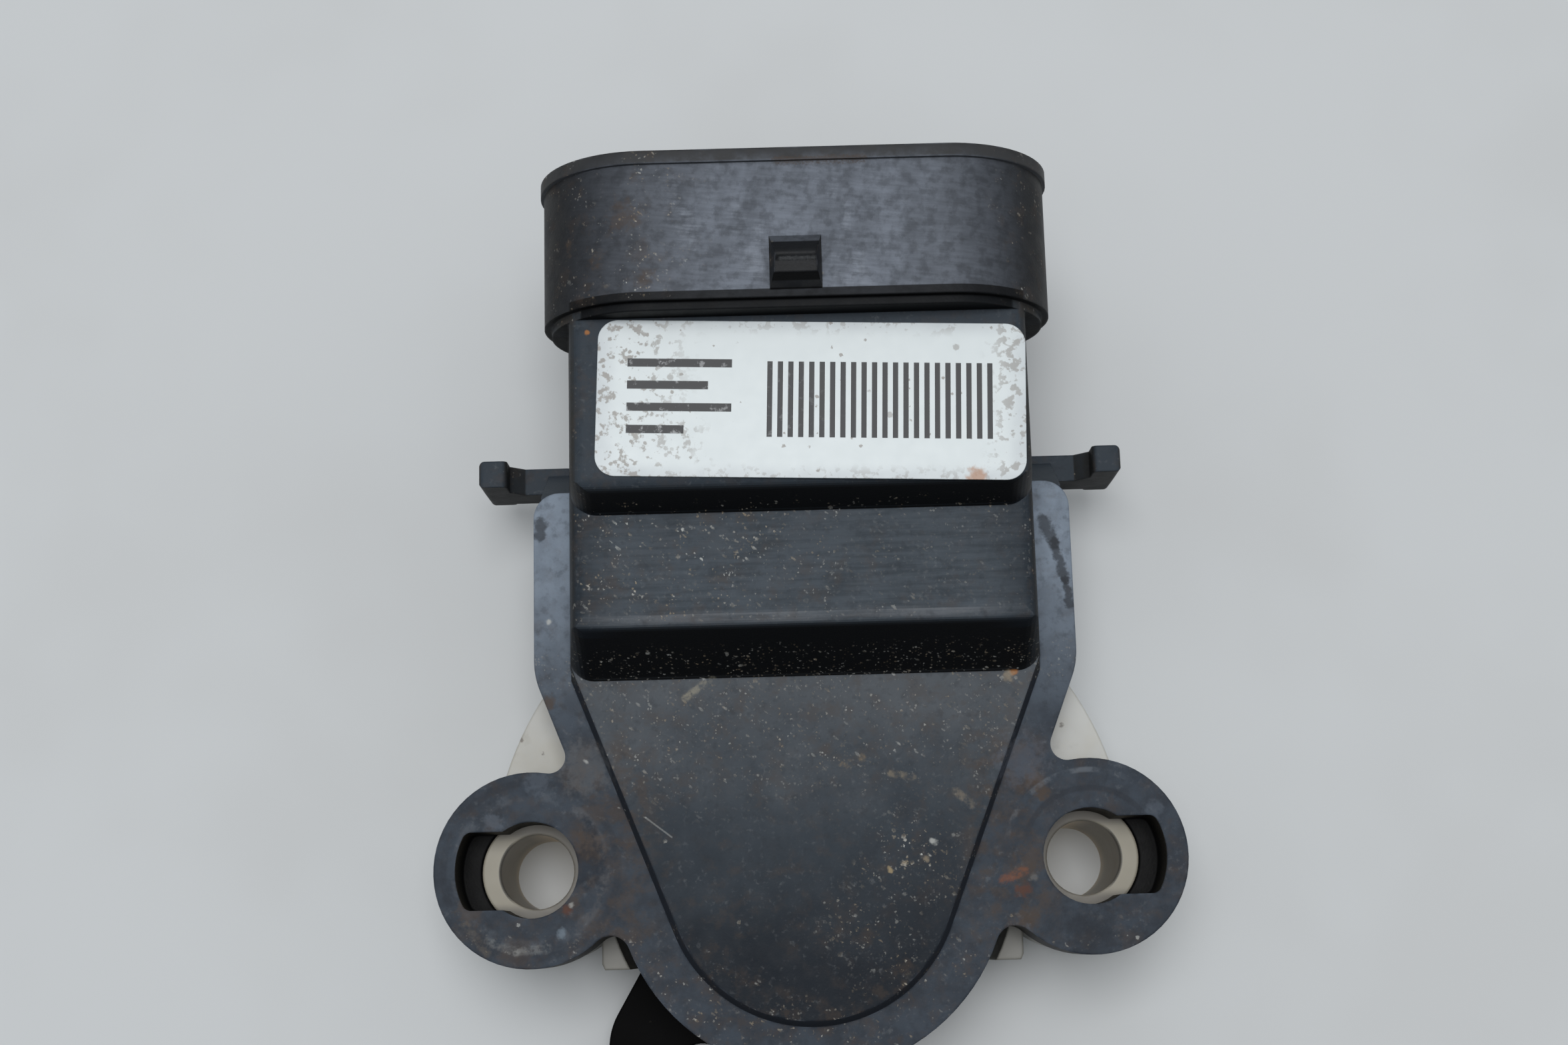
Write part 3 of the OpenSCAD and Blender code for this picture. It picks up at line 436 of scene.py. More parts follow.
@dataclass(frozen=True)
class HousingPlastic(Finish):
    """Filled black plastic, matt and scuffed, with the dust and marks of its years in use, and with painted
    shade, painted highlights and a painted sheen laid into its colour.
    """

    slot: Slot = Slot.HOUSING_BLACK
    dark: Colour = (0.009, 0.013, 0.019)
    grey: Colour = (0.036, 0.046, 0.058)
    light: Colour = (0.084, 0.095, 0.108)
    ear: Colour = (0.042, 0.054, 0.071)
    ear_dark: Colour = (0.022, 0.026, 0.034)
    strip: Colour = (0.225, 0.272, 0.335)
    step: Colour = (0.034, 0.044, 0.055)
    step_light: Colour = (0.06, 0.074, 0.09)
    # Colour of the painted highlight along the middle step's rounded front edge.
    brow_highlight: Colour = (0.12, 0.132, 0.148)
    side: Colour = (0.028, 0.027, 0.025)
    # Lighter blue-grey of rubbed edges, also laid as the painted sheen on the shroud's top.
    rubbed: Colour = (0.172, 0.193, 0.232)
    mid_z: float = 18.5
    label_z: float = 21.0
    shroud_y: float = 32.5
    bead_y: float = 40.9
    slot_r: float = 4.8
    slot_floor_z: float = 12.2
    latch_z: float = 23.5
    round_y: float = -0.7
    grain: float = 0.12
    broad: float = 0.4
    heaps: tuple[Point, ...] = ((6.4, -0.4, 4.6), (3.4, -4.8, 4.2))
    smear_z: float = 23.3
    smear_lean: float = -0.7
    # Smear streaks on the shroud's top beside the latch, partly rubbing and partly painted sheen.
    smears_and_sheen: tuple[tuple[float, ...], ...] = (
        (-2.4, 34.6, 37.6, 2.0), (3.2, 33.6, 38.0, 2.2), (-6.4, 36.0, 39.6, 1.5))
    bead_dirt: Scratch = Scratch((-1.0, 40.85), (4.2, 40.85), 0.5, BROWN, 0.6, 23.2, 23.2)
    stains: tuple[Stain, ...] = (
        Stain(-14.8, -2.45, 0.45, RUST, 0.75),
        Stain(-14.4, -1.9, 0.5, BROWN, 0.5),
        Stain(-13.4, 1.3, 1.3, BROWN, 0.55),
        Stain(-20.66, -2.4, 1.1, BROWN, 0.5),
        Stain(-17.8, -4.9, 1.5, BROWN, 0.35),
        Stain(-13.6, 6.48, 0.2, CHALK, 0.8),
        Stain(-15.78, 15.16, 0.25, CHALK, 0.7),
        Stain(-15.91, 10.16, 0.6, BROWN, 0.75),
        Stain(12.81, -1.95, 0.6, RUST, 0.7),
        Stain(13.3, -0.2, 1.2, BROWN, 0.55),
        Stain(14.22, 3.84, 0.6, BROWN, 0.8),
        Stain(13.74, 4.68, 0.8, BROWN, 0.65),
        Stain(13.1, -3.6, 1.0, BROWN, 0.55),
        Stain(12.75, 11.2, 0.32, ORANGE, 0.8, TONGUE_Z),
        Stain(12.4, 11.0, 0.5, TAN, 0.55, TONGUE_Z),
        Stain(7.39, 1.07, 0.3, CHALK, 0.6, TONGUE_Z),
        Stain(4.8, -0.57, 0.26, (0.36, 0.28, 0.16), 0.7, TONGUE_Z),
        Stain(6.95, 0.05, 0.28, TAN, 0.5, TONGUE_Z),
        Stain(-12.5, 31.18, 0.22, ORANGE, 0.9, 21.0),
        Stain(0.75, 34.1, 0.14, ORANGE, 0.7, 24.3),
        Stain(-14.2, 36.5, 1.2, BROWN, 0.6, 22.0),
        Stain(-12.0, 35.2, 1.0, BROWN, 0.6, 23.0),
        Stain(-10.2, 37.8, 1.3, BROWN, 0.5, 23.3),
        Stain(-8.9, 33.9, 0.9, BROWN, 0.55, 23.4),
        Stain(-15.12, -3.8, 0.42, (0.2, 0.25, 0.3), 0.5),
        Stain(-14.54, -2.15, 0.22, CHALK, 0.4),
        Stain(-19.3, 2.9, 0.8, SLATE, 0.5),
        Stain(-16.6, 5.3, 1.0, SLATE, 0.4),
        Stain(12.6, -4.7, 0.8, SLATE, 0.5),
        Stain(13.4, -1.2, 0.35, (0.3, 0.29, 0.27), 0.22),
        Stain(20.9, 2.6, 0.8, SLATE, 0.4),
        # Painted shade: darker patches on the right ear's lower side and on the left ear's side towards the
        # neck.
        Stain(16.8, -5.0, 2.6, (0.016, 0.019, 0.025), 0.45),
        Stain(-13.6, 0.1, 1.7, (0.01, 0.014, 0.022), 0.55),
        Stain(-13.56, 6.18, 2.2, (0.125, 0.13, 0.137), 0.4),
        Stain(12.93, 5.89, 2.2, (0.1, 0.112, 0.14), 0.4),
    )
    scratches: tuple[Scratch, ...] = (
        Scratch((-7.44, 10.09), (-5.71, 11.37), 0.42, (0.3, 0.28, 0.22), 0.6, *ON_TONGUE),
        Scratch((-11.63, 3.62), (-9.92, 2.92), 0.1, CHALK, 0.25, FLANGE_Z, TONGUE_Z),
        Scratch((-9.92, 2.92), (-8.37, 1.72), 0.1, CHALK, 0.25, *ON_TONGUE),
        Scratch((2.1, 5.75), (3.3, 6.2), 0.45, (0.28, 0.2, 0.11), 0.45, *ON_TONGUE),
        Scratch((5.0, 5.2), (6.3, 4.95), 0.42, (0.28, 0.23, 0.16), 0.4, *ON_TONGUE),
        Scratch((8.9, 4.0), (9.8, 3.2), 0.5, TAN, 0.3, *ON_TONGUE),
        Scratch((11.6, -1.31), (12.86, -0.83), 0.6, (0.2, 0.075, 0.035), 0.6),
        Scratch((-19.6, -4.2), (-17.9, -4.85), 0.5, CHALK, 0.14),
        Scratch((-17.9, -4.85), (-16.0, -4.7), 0.55, CHALK, 0.17),
        Scratch((-20.9, -3.2), (-19.6, -4.9), 0.5, TAN, 0.12),
        Scratch((-13.5, 3.1), (-12.9, 1.2), 0.6, (0.012, 0.016, 0.024), 0.6),
        # Painted highlight along the latch's crest.
        Scratch((-0.9, 34.42), (1.1, 34.42), 0.3, (0.1, 0.105, 0.11), 0.6, 24.3, 24.3),
    )
    gouges: tuple[Scratch, ...] = (
        Scratch((15.07, 20.78), (15.7, 19.33), 0.75, GOUGED, 0.75),
        Scratch((15.7, 19.33), (16.28, 16.95), 0.55, GOUGED, 0.75),
        Scratch((16.28, 16.95), (16.49, 15.42), 0.5, GOUGED, 0.75),
        Scratch((-16.33, 21.5), (-16.34, 20.55), 0.7, GOUGED, 0.75),
    )

    def material(self) -> Material:
        """Makes the housing's material.

        Returns:
            The material, with its nodes.
        """
        g = Skin(self.slot.value)
        rounded = g.soft_normal(0.2)
        self._tone(g)
        self._variation(g)
        self._ears(g)
        self._shroud(g)
        haze, grit = self._dust(g)
        g.lay(BROWN, haze)
        g.lay(g.paint(TAN, CHALK, g.patches(0.42, 0.62, 0.9)), grit)
        g.lay(self.rubbed, g.edges(rounded), g.patches(0.42, 0.7, 1.6), 0.4, g.up,
              g.without(g.band(g.y, self.shroud_y - 1.0, self.shroud_y + 0.1, 0.2)))
        cuts = self._marks(g)
        rough = g.mix(g.noise(1.2), 0.42, 0.62)
        rough = g.mix(g.ramp(g.z, self.latch_z, self.latch_z + 0.1), rough, 0.4)
        rough = g.mix(grit, rough, 0.85)
        grain = g.math("ADD", g.noise(0.16, 2.0), g.all_of(g.noise(2.4), 1.4))
        height = g.math("ADD", grain, g.all_of(grit, 0.9))
        height = g.math("SUBTRACT", height, g.all_of(cuts, 1.4))
        return g.surface(rough, g.bump(height, 0.012, rounded), Specular_IOR_Level=0.1)

    def _marks(self, g: Skin) -> Value:
        """Lays the stains, scratches and gouges, among them painted shade on the ears and a painted
        highlight on the latch, and painted shade on the floors of the ears' slots.

        Args:
            g: The material's graph.

        Returns:
            Mask of the gouges.
        """
        lumps, fine = g.wander(0.5), g.wander(self.grain)
        for mark in self.stains:
            patch = g.spot((mark.x, mark.y, mark.z), mark.radius, g.shifted(lumps, 0.9 * mark.radius))
            g.lay(mark.colour, patch, mark.strength)
        patchy = g.patches(0.36, 0.62, 0.5, 5.0)
        for mark in self.scratches:
            stroke = mark.mask(g, fine, 0.3 * mark.width)
            g.lay(mark.colour, stroke, patchy if mark.width > self.broad else 1.0, mark.strength)
        cuts: Value = 0.0
        for mark in self.gouges:
            stroke = mark.mask(g, lumps, 0.45)
            g.lay(mark.colour, stroke, mark.strength)
            cuts = g.any_of(cuts, stroke)
        # Painted shade: near-black on the floors of the ears' slots.
        in_slots = [g.ramp(g.radius_from(x, 0.0), self.slot_r + 0.1, self.slot_r) for x in (-EAR_X, EAR_X)]
        g.lay(SHADE_BLACK, g.any_of(*in_slots), g.band(g.z, 8.0, self.slot_floor_z, 0.05))
        return cuts

    def _tone(self, g: Skin) -> None:
        """Lays the colour of the tongue, the steps, the slopes and the flange, with painted shade and
        light: darker towards the front, near-black on faces that look to the front, dark on the tongue's
        side wall and at the middle step's ends, and a painted highlight along the step's front edge.

        Args:
            g: The material's graph.
        """
        mottle = g.noise(4.0, 6.0)
        blotch = g.patches(0.34, 0.66, 1.6, 5.0)
        # Painted shade and light: the plastic darkens towards the front (-Y), with a mottle, and the
        # tongue's top lightens towards the back.
        rise = g.math("ADD", g.all_of(g.y, 0.055), g.all_of(mottle, 0.7))
        g.colour = g.paint(self.dark, self.grey, g.ramp(rise, -0.1, 0.65))
        g.lay(self.light, g.ramp(rise, 0.45, 1.05), g.band(g.z, TONGUE_Z - 0.3, TONGUE_Z + 0.2, 0.3))
        g.lay(self.side, g.ramp(g.absolute(g.facing_x), 0.45, 0.8), g.mix(blotch, 0.6, 1.0))
        # Painted shade: faces that look to the front are laid near-black.
        front = g.all_of(g.facing_y, -1.0)
        g.lay(SHADE_BLACK, g.ramp(front, 0.5, 0.88), 0.95)
        # Painted shade on the tongue's side wall.
        wall = g.all_of(g.band(g.z, FLANGE_Z + 0.02, TONGUE_Z - 0.02, 0.02), g.ramp(g.y, 11.5, 11.0))
        g.lay(self.ear_dark, wall, g.without(g.up))
        on_flange = g.flat_at(FLANGE_Z)
        g.lay(g.paint(self.ear_dark, self.ear, g.mix(blotch, 0.4, 1.0)), on_flange)
        across = g.absolute(g.x)
        g.lay(self.strip, on_flange, g.ramp(across, 10.5, 13.5), g.ramp(g.y, 6.5, 20.5),
              g.mix(blotch, 0.75, 1.0))
        brushed = g.noise(0.4, 4.0, g.stretched((0.12, 1.4, 1.0)))
        level = g.all_of(g.math("ADD", brushed, mottle), 0.5)
        step = g.paint(self.step, self.step_light, g.ramp(level, 0.36, 0.62))
        g.lay(step, g.flat_at(self.mid_z, 0.2))
        # Painted shade at the middle step's ends, where its edges round over.
        ends = g.ramp(across, 10.5, 13.7)
        g.lay(self.dark, ends, g.band(g.z, self.mid_z - 1.0, self.mid_z + 0.1, 0.2), 0.55)
        # Painted highlight in streaks along the middle step's rounded front edge.
        brow_highlight = g.all_of(g.ramp(front, 0.03, 0.14), g.ramp(front, 0.72, 0.45),
                        g.band(g.z, self.mid_z - 1.1, self.mid_z + 0.1, 0.3))
        streaks = g.ramp(g.noise(0.5, 4.0, g.stretched((0.1, 1.6, 1.0))), 0.35, 0.65)
        g.lay(self.brow_highlight, brow_highlight, g.mix(streaks, 0.35, 1.0), g.without(g.all_of(ends, 0.7)))

    def _variation(self, g: Skin) -> None:
        """Breaks up the tone with fine grime and with pale and dim spots.

        Args:
            g: The material's graph.
        """
        soil = g.all_of(g.patches(0.46, 0.7, 0.9, 6.0), g.patches(0.36, 0.6, 3.5, 3.0))
        g.lay(BROWN, soil, g.up, 0.28)
        between = g.all_of(g.band(g.absolute(g.x), 10.5, 13.5, 2.0), g.band(g.y, -4.0, 6.5, 2.0))
        g.lay(BROWN, between, g.up, g.patches(0.42, 0.62, 1.1, 5.0), 0.5)
        pale = g.all_of(g.patches(0.54, 0.72, 0.35, 5.0), g.patches(0.38, 0.62, 2.2, 3.0))
        g.lay((0.17, 0.18, 0.19), pale, g.up, 0.28)
        g.lay((0.014, 0.017, 0.022), g.patches(0.5, 0.3, 0.6, 5.0), g.up, 0.3)

    def _ears(self, g: Skin) -> None:
        """Adds the prints that the bolts' washers left on the ears.

        Args:
            g: The material's graph.
        """
        broken = g.patches(0.4, 0.62, 1.1, 4.0)
        bright = g.all_of(g.ring(EAR_X, 5.2, 0.45), g.ramp(g.x, EAR_X + 3.0, EAR_X - 1.0),
                          g.ramp(g.y, 0.0, 3.0), 0.9)
        faint = g.all_of(g.ring(-EAR_X, 4.5, 0.9), 0.35)
        g.lay((0.11, 0.125, 0.145), g.up, broken, g.any_of(bright, faint))
        inner = g.all_of(g.ring(EAR_X, 4.1, 0.5), g.ramp(g.y, 0.5, 3.0))
        outer = g.all_of(g.ring(-EAR_X, 5.3, 0.6), g.mix(broken, 0.8, 0.2))
        g.lay(self.ear_dark, g.up, g.any_of(inner, outer), 0.55)

    def _shroud(self, g: Skin) -> None:
        """Lays the colours of the connector's shroud, with a painted sheen along its top, smear streaks
        that are partly painted sheen, painted shade on its back lip and its bead's front face laid lighter
        as painted light.

        Args:
            g: The material's graph.
        """
        fine = g.wander(self.grain)
        behind = g.ramp(g.y, self.shroud_y, self.shroud_y + 0.1)
        lip = g.all_of(g.band(g.y, self.shroud_y - 0.7, self.shroud_y + 0.5, 0.05),
                       g.ramp(g.z, self.label_z + 0.1, self.label_z + 0.3))
        low = g.ramp(g.facing_z, 0.85, 0.3)
        g.lay((0.014, 0.015, 0.017), behind)
        g.lay((0.028, 0.028, 0.028), behind, low, g.patches(0.4, 0.65, 1.4, 4.0))
        brushed = g.noise(0.3, 5.0, g.shifted(fine, 0.05, g.stretched((0.16, 1.3, 0.5), 6.0)))
        wiped = g.noise(1.5, 6.0, g.stretched((1.0, 0.4, 0.5), 14.0))
        # Painted sheen: the rubbed colour on the shroud's top is strongest along the middle and fades to
        # the ends, broken by brushed and wiped streaks.
        off_middle = g.absolute(g.math("SUBTRACT", g.x, 0.8))
        middle = g.ramp(g.math("ADD", off_middle, g.all_of(wiped, 3.0)), 17.0, 5.5)
        worn_sheen = g.all_of(g.mix(g.ramp(brushed, 0.3, 0.7), 0.75, 1.0),
                        g.mix(g.ramp(wiped, 0.35, 0.65), 0.72, 1.0),
                        g.mix(g.patches(0.36, 0.56, 0.7, 6.0), 0.72, 1.08))
        top = g.all_of(behind, g.ramp(g.facing_z, 0.5, 0.98), g.ramp(g.y, 41.8, 40.9))
        g.lay(self.rubbed, top, worn_sheen, g.mix(middle, 0.12, 0.95))
        # Light smear streaks beside the latch, partly rubbing and partly painted sheen.
        bent = g.shifted(g.wander(2.2), 1.0)
        smears_and_sheen = g.any_of(*[
            g.stroke((x, start, self.smear_z), (x + self.smear_lean, end, self.smear_z), width, bent)
            for x, start, end, width in self.smears_and_sheen])
        g.lay((0.3, 0.33, 0.38), smears_and_sheen, top, g.ramp(brushed, 0.36, 0.7), g.ramp(wiped, 0.4, 0.6), 0.38)
        # Painted shade on the shroud's back lip.
        g.lay(SHADE_BLACK, lip, 0.9)
        bead = g.ramp(g.y, self.bead_y - 0.05, self.bead_y + 0.15)
        g.lay((0.043, 0.044, 0.046), bead, g.mix(g.patches(0.35, 0.65, 1.3, 4.0), 0.6, 1.0))
        # Painted light: the bead's front face is laid lighter, which hides the dark line of its shade.
        rise = g.band(g.y, self.bead_y - 0.4, self.bead_y + 0.1, 0.1)
        g.lay((0.06, 0.065, 0.075), rise, g.ramp(g.facing_y, -0.3, -0.8))
        g.lay(self.bead_dirt.colour, self.bead_dirt.mask(g, fine, 0.3), self.bead_dirt.strength)
        g.lay((0.0045, 0.0046, 0.005), g.ramp(g.z, self.latch_z, self.latch_z + 0.1), 0.95)

    def _dust(self, g: Skin) -> tuple[Socket, Socket]:
        """Scatters haze and fine grit where they have gathered.

        Args:
            g: The material's graph.

        Returns:
            Mask of the brown haze, and mask of the grit.
        """
        patch = g.patches(0.46, 0.62, 2.6, 4.0)
        loose = g.patches(0.46, 0.66, 1.2, 4.0)
        from_round = g.radius_from(0.0, self.round_y)
        on_flange, on_tongue = g.flat_at(FLANGE_Z), g.flat_at(TONGUE_Z)
        even = g.mix(loose, 0.45, 1.0)
        slope_foot = g.all_of(g.band(g.y, 11.0, 12.9, 0.6), g.band(g.z, 13.2, 15.4, 1.6), even)
        upper_foot = g.all_of(g.band(g.y, 20.2, 21.1, 0.4), g.band(g.z, 18.4, 19.2, 0.8), loose)
        strayed = g.shifted(g.wander(2.6), 2.2)
        heaped = g.any_of(*[g.spot((x, y, TONGUE_Z), radius, strayed) for x, y, radius in self.heaps])
        lower_right = g.all_of(on_tongue, g.mix(patch, 0.3, 1.0), heaped)
        near_body = g.all_of(on_tongue, even, g.ramp(g.y, 1.0, 8.5), 0.8)
        low_end = g.all_of(on_flange, g.ramp(from_round, 8.8, 9.2), loose, g.ramp(g.y, -3.0, -6.0))
        rim = g.all_of(on_tongue, loose, g.ramp(from_round, 6.6, 7.8), g.ramp(g.y, -4.0, -6.0))
        mid = g.all_of(g.flat_at(self.mid_z), g.mix(patch, 0.25, 1.0),
                       g.mix(g.ramp(g.x, 4.0, -6.0), 0.4, 1.0))
        shroud = g.all_of(g.up, patch, g.ramp(g.y, self.shroud_y, self.shroud_y + 0.5),
                          g.ramp(g.x, -4.0, -10.0))
        side = g.all_of(g.ramp(g.absolute(g.facing_x), 0.3, 0.6), loose, 0.6)
        level = g.any_of(lower_right, near_body, low_end, rim, mid, shroud, side)
        where = g.any_of(slope_foot, upper_foot, level)
        fine = g.wander(self.grain)
        slanted = g.shifted(fine, 0.1, g.stretched((0.55, 1.3, 1.0), 38.0))
        bent = g.shifted(fine, 0.12)
        small = g.specks(0.17, 0.4, 0.3, bent)
        long_ones = g.all_of(g.specks(0.3, 0.34, 0.22, slanted), 0.9)
        coarse = g.specks(0.8, 0.2, 0.14, bent)
        stray = g.all_of(g.specks(1.5, 0.09, 0.22, bent), g.up, 0.6)
        lumps = g.specks(1.1, 0.24, 0.25, g.shifted(fine, 0.3))
        clumps = g.all_of(g.any_of(g.specks(0.5, 0.3, 0.3, bent), lumps), lower_right)
        grit = g.any_of(g.all_of(g.any_of(small, long_ones, coarse), where), clumps, stray)
        haze = g.all_of(g.any_of(level, g.all_of(on_flange, patch, g.ramp(g.y, 12.0, 4.0))), loose, 0.35)
        return haze, g.all_of(grit, g.patches(0.26, 0.66, 0.45), 0.85)


@dataclass(frozen=True)
class LeverPlastic(Finish):
    """Black plastic of the lever, nearly clean, its colours laid very dark as painted shade."""

    slot: Slot = Slot.LEVER_BLACK
    dark: Colour = (0.0022, 0.0022, 0.0024)
    grey: Colour = (0.0034, 0.0034, 0.0036)

    def material(self) -> Material:
        """Makes the lever's material.

        Returns:
            The material, with its nodes.
        """
        g = Skin(self.slot.value)
        rounded = g.soft_normal(0.25)
        g.colour = g.paint(self.dark, self.grey, g.patches(0.35, 0.65, 3.0))
        g.lay((0.02, 0.021, 0.023), g.edges(rounded), g.patches(0.45, 0.75, 1.2), 0.35)
        grit = g.specks(0.7, 0.22, 0.12, g.shifted(g.wander(0.12), 0.1))
        g.lay((0.1, 0.085, 0.065), grit, g.patches(0.5, 0.65, 2.0), 0.5)
        rough = g.mix(g.noise(1.5), 0.4, 0.58)
        return g.surface(rough, g.bump(g.noise(0.2, 2.0), 0.008, rounded), Specular_IOR_Level=0.02)


@dataclass(frozen=True)
class NaturalNylon(Finish):
    """Unpigmented nylon, cream and slightly clear, with grime patches, darker towards the left, and painted
    light and shade in its bolt tubes and at the ring wall's ends.
    """

    slot: Slot = Slot.NATURAL_NYLON
    clean: Colour = (0.49, 0.495, 0.475)
    warm: Colour = (0.46, 0.445, 0.39)
    grime: Colour = (0.24, 0.23, 0.2)
    shade: Colour = (0.115, 0.112, 0.095)
    rim: Colour = (0.29, 0.265, 0.205)
    rim_shade: Colour = (0.12, 0.108, 0.086)
    bore: Colour = (0.78, 0.66, 0.48)
    bore_shade: Colour = (0.24, 0.218, 0.172)

    def material(self) -> Material:
        """Makes the base's material.

        Returns:
            The material, with its nodes.
        """
        g = Skin(self.slot.value)
        rounded = g.soft_normal(0.2)
        g.colour = g.paint(self.clean, self.warm, g.patches(0.4, 0.7, 6.0, 4.0))
        g.lay(self.grime, g.patches(0.55, 0.8, 1.8, 5.0), 0.45)
        # Darker towards the left (-X), laid with the grime colour.
        g.lay(self.grime, g.ramp(g.x, -4.0, -12.0), 0.3)
        g.lay(BROWN, g.specks(0.7, 0.26, 0.12, g.shifted(g.wander(0.15), 0.12)), 0.7)
        g.lay(self.warm, g.edges(rounded), 0.35)
        # Painted shade on the nylon at the ring wall's ends, beside the flange.
        g.lay(self.shade, g.band(g.y, -6.3, -4.2, 0.5), g.ramp(g.absolute(g.x), 14.5, 14.0), 0.85)
        for side in (-1.0, 1.0):
            self._bolt_tube(g, side)
        rough = g.mix(g.noise(2.2), 0.36, 0.52)
        flow = g.noise(1.1, 2.0, g.stretched((0.3, 1.0, 1.0), 20.0))
        return g.surface(rough, g.bump(flow, 0.01, rounded), Subsurface_Weight=0.12,
                         Subsurface_Radius=(1.0, 0.85, 0.6), Subsurface_Scale=0.0012)

    def _bolt_tube(self, g: Skin, side: float) -> None:
        """Lays the colours of one bolt tube: painted light and shade on its rim and its bore, and a dark
        ring in its mouth.

        Args:
            g: The material's graph.
            side: 1 for the ear at +X, -1 for the other.
        """
        from_hole = g.radius_from(side * EAR_X, 0.0)
        outward = g.all_of(g.math("SUBTRACT", g.x, side * EAR_X), side)
        # Painted light and shade on the tube's rim: bright only in the crescent under the ear's slot,
        # shaded elsewhere.
        in_shade = g.any_of(g.ramp(outward, 0.8, -1.2), g.ramp(g.absolute(g.y), 1.8, 2.5))
        g.lay(g.paint(self.rim, self.rim_shade, in_shade), g.ramp(from_hole, 3.6, 3.5), g.ramp(g.z, 8.0, 8.8))
        # Painted light and shade on the bore's wall: the lit mask picks its outer side above the floor,
        # which gets the shaded colour, and the rest is bright beige.
        lit = g.all_of(g.ramp(outward, -0.6, 1.0), g.ramp(g.z, -3.0, 2.8))
        wall = g.all_of(g.ramp(from_hole, 2.42, 2.36), g.ramp(g.z, 8.8, 8.2))
        g.lay(g.paint(self.bore, self.bore_shade, lit), wall)
        # A dark ring round the top edge of the bore, on its outer side.
        mouth = g.all_of(g.ring(side * EAR_X, 2.32, 0.24), g.ramp(g.z, 8.2, 8.6))
        g.lay((0.03, 0.028, 0.022), mouth, g.ramp(outward, 1.2, 1.9), 0.85)


@dataclass(frozen=True)
class LabelFilm(Finish):
    """Silver-white film, dirty along its edges and rubbed at its left end."""

    slot: Slot = Slot.LABEL_SILVER
    white: Colour = (0.61, 0.665, 0.68)
    silver: Colour = (0.37, 0.405, 0.44)
    dirt: Colour = (0.17, 0.145, 0.12)
    centre: Point = (0.7, 26.73, 21.1)
    half: Pair = (12.7, 4.75)
    turn_deg: float = -2.1

    def material(self) -> Material:
        """Makes the label's material.

        Returns:
            The material, with its nodes.
        """
        g = Skin(self.slot.value)
        u, v, _ = g.parts(g.turned(g.vector("SUBTRACT", g.place, self.centre), -self.turn_deg))
        rim = g.any_of(g.ramp(g.absolute(u), self.half[0] - 1.5, self.half[0]),
                       g.ramp(g.absolute(v), self.half[1] - 1.0, self.half[1]))
        g.colour = g.paint(self.white, self.silver, g.all_of(rim, g.mix(g.noise(1.6), 0.1, 0.75)))
        left = g.ramp(u, -6.0, -10.5)
        right = g.ramp(u, 9.8, 11.8)
        low_left = g.spot((-7.6, 24.4, self.centre[2]), 2.6, g.shifted(g.wander(1.2), 1.8))
        where = g.any_of(left, g.all_of(right, 0.8), g.all_of(low_left, 0.7), g.all_of(rim, 0.6))
        flakes = g.all_of(where, g.patches(0.53, 0.6, 0.55, 5.0))
        bent = g.shifted(g.wander(0.12), 0.1)
        flakes = g.any_of(flakes, g.all_of(left, g.specks(0.4, 0.3, 0.25, bent)))
        stray = g.any_of(g.specks(0.5, 0.24, 0.14, bent), g.all_of(g.specks(1.3, 0.16, 0.25, bent), 0.7))
        g.lay(self.dirt, g.any_of(flakes, stray), 0.75)
        g.lay(ORANGE, g.spot((10.33, 21.76, self.centre[2]), 0.8, g.shifted(g.wander(0.4), 0.6)), 0.8)
        rough = g.mix(g.noise(1.0), 0.28, 0.42)
        return g.surface(rough, g.bump(g.noise(3.0, 2.0), 0.01, g.soft_normal(0.05)))


@dataclass(frozen=True)
class LabelInk(Finish):
    """Black print, rubbed thin in places."""

    slot: Slot = Slot.LABEL_SILVER
    ink: Colour = (0.02, 0.021, 0.024)
    rubbed: Colour = (0.34, 0.35, 0.36)

    def material(self) -> Material:
        """Makes the print's material.

        Returns:
            The material, with its nodes.
        """
        g = Skin("label_ink")
        thin = g.all_of(g.patches(0.55, 0.66, 0.5, 5.0), g.ramp(g.x, 4.0, -9.0))
        g.colour = g.paint(self.ink, self.rubbed, g.all_of(thin, 0.8))
        return g.surface(0.5, g.bump(g.noise(0.3), 0.002))


@dataclass(frozen=True)
class Metal(Finish):
    """Metal with the lines of its making and a little tarnish."""

    bright: Colour = (0.52, 0.53, 0.54)
    dull: Colour = (0.3, 0.3, 0.3)
    tarnish: Colour = (0.12, 0.09, 0.06)
    roughness: Pair = (0.22, 0.4)
    lines: Point = (1.0, 1.0, 0.1)

    def material(self) -> Material:
        """Makes the metal's material.

        Returns:
            The material, with its nodes.
        """
        g = Skin(self.slot.value)
        rounded = g.soft_normal(0.06)
        drawn = g.noise(0.25, 4.0, g.stretched(self.lines))
        g.colour = g.paint(self.bright, self.dull, g.ramp(drawn, 0.4, 0.75))
        g.lay(self.tarnish, g.patches(0.6, 0.78, 0.9, 5.0), 0.5)
        rough = g.mix(drawn, *self.roughness)
        return g.surface(rough, g.bump(drawn, 0.004, rounded), Metallic=1.0)


@dataclass(frozen=True)
class Rubber(Finish):
    """Moulded rubber with a soft bloom."""

    slot: Slot = Slot.SEAL_RUBBER
    body: Colour = (0.13, 0.045, 0.032)
    bloom: Colour = (0.22, 0.13, 0.11)

    def material(self) -> Material:
        """Makes the rubber's material.

        Returns:
            The material, with its nodes.
        """
        g = Skin(self.slot.value)
        g.colour = g.paint(self.body, self.bloom, g.all_of(g.patches(0.45, 0.7, 0.8, 5.0), 0.5))
        return g.surface(g.mix(g.noise(0.6), 0.55, 0.75), g.bump(g.noise(0.15), 0.006, g.soft_normal(0.08)))


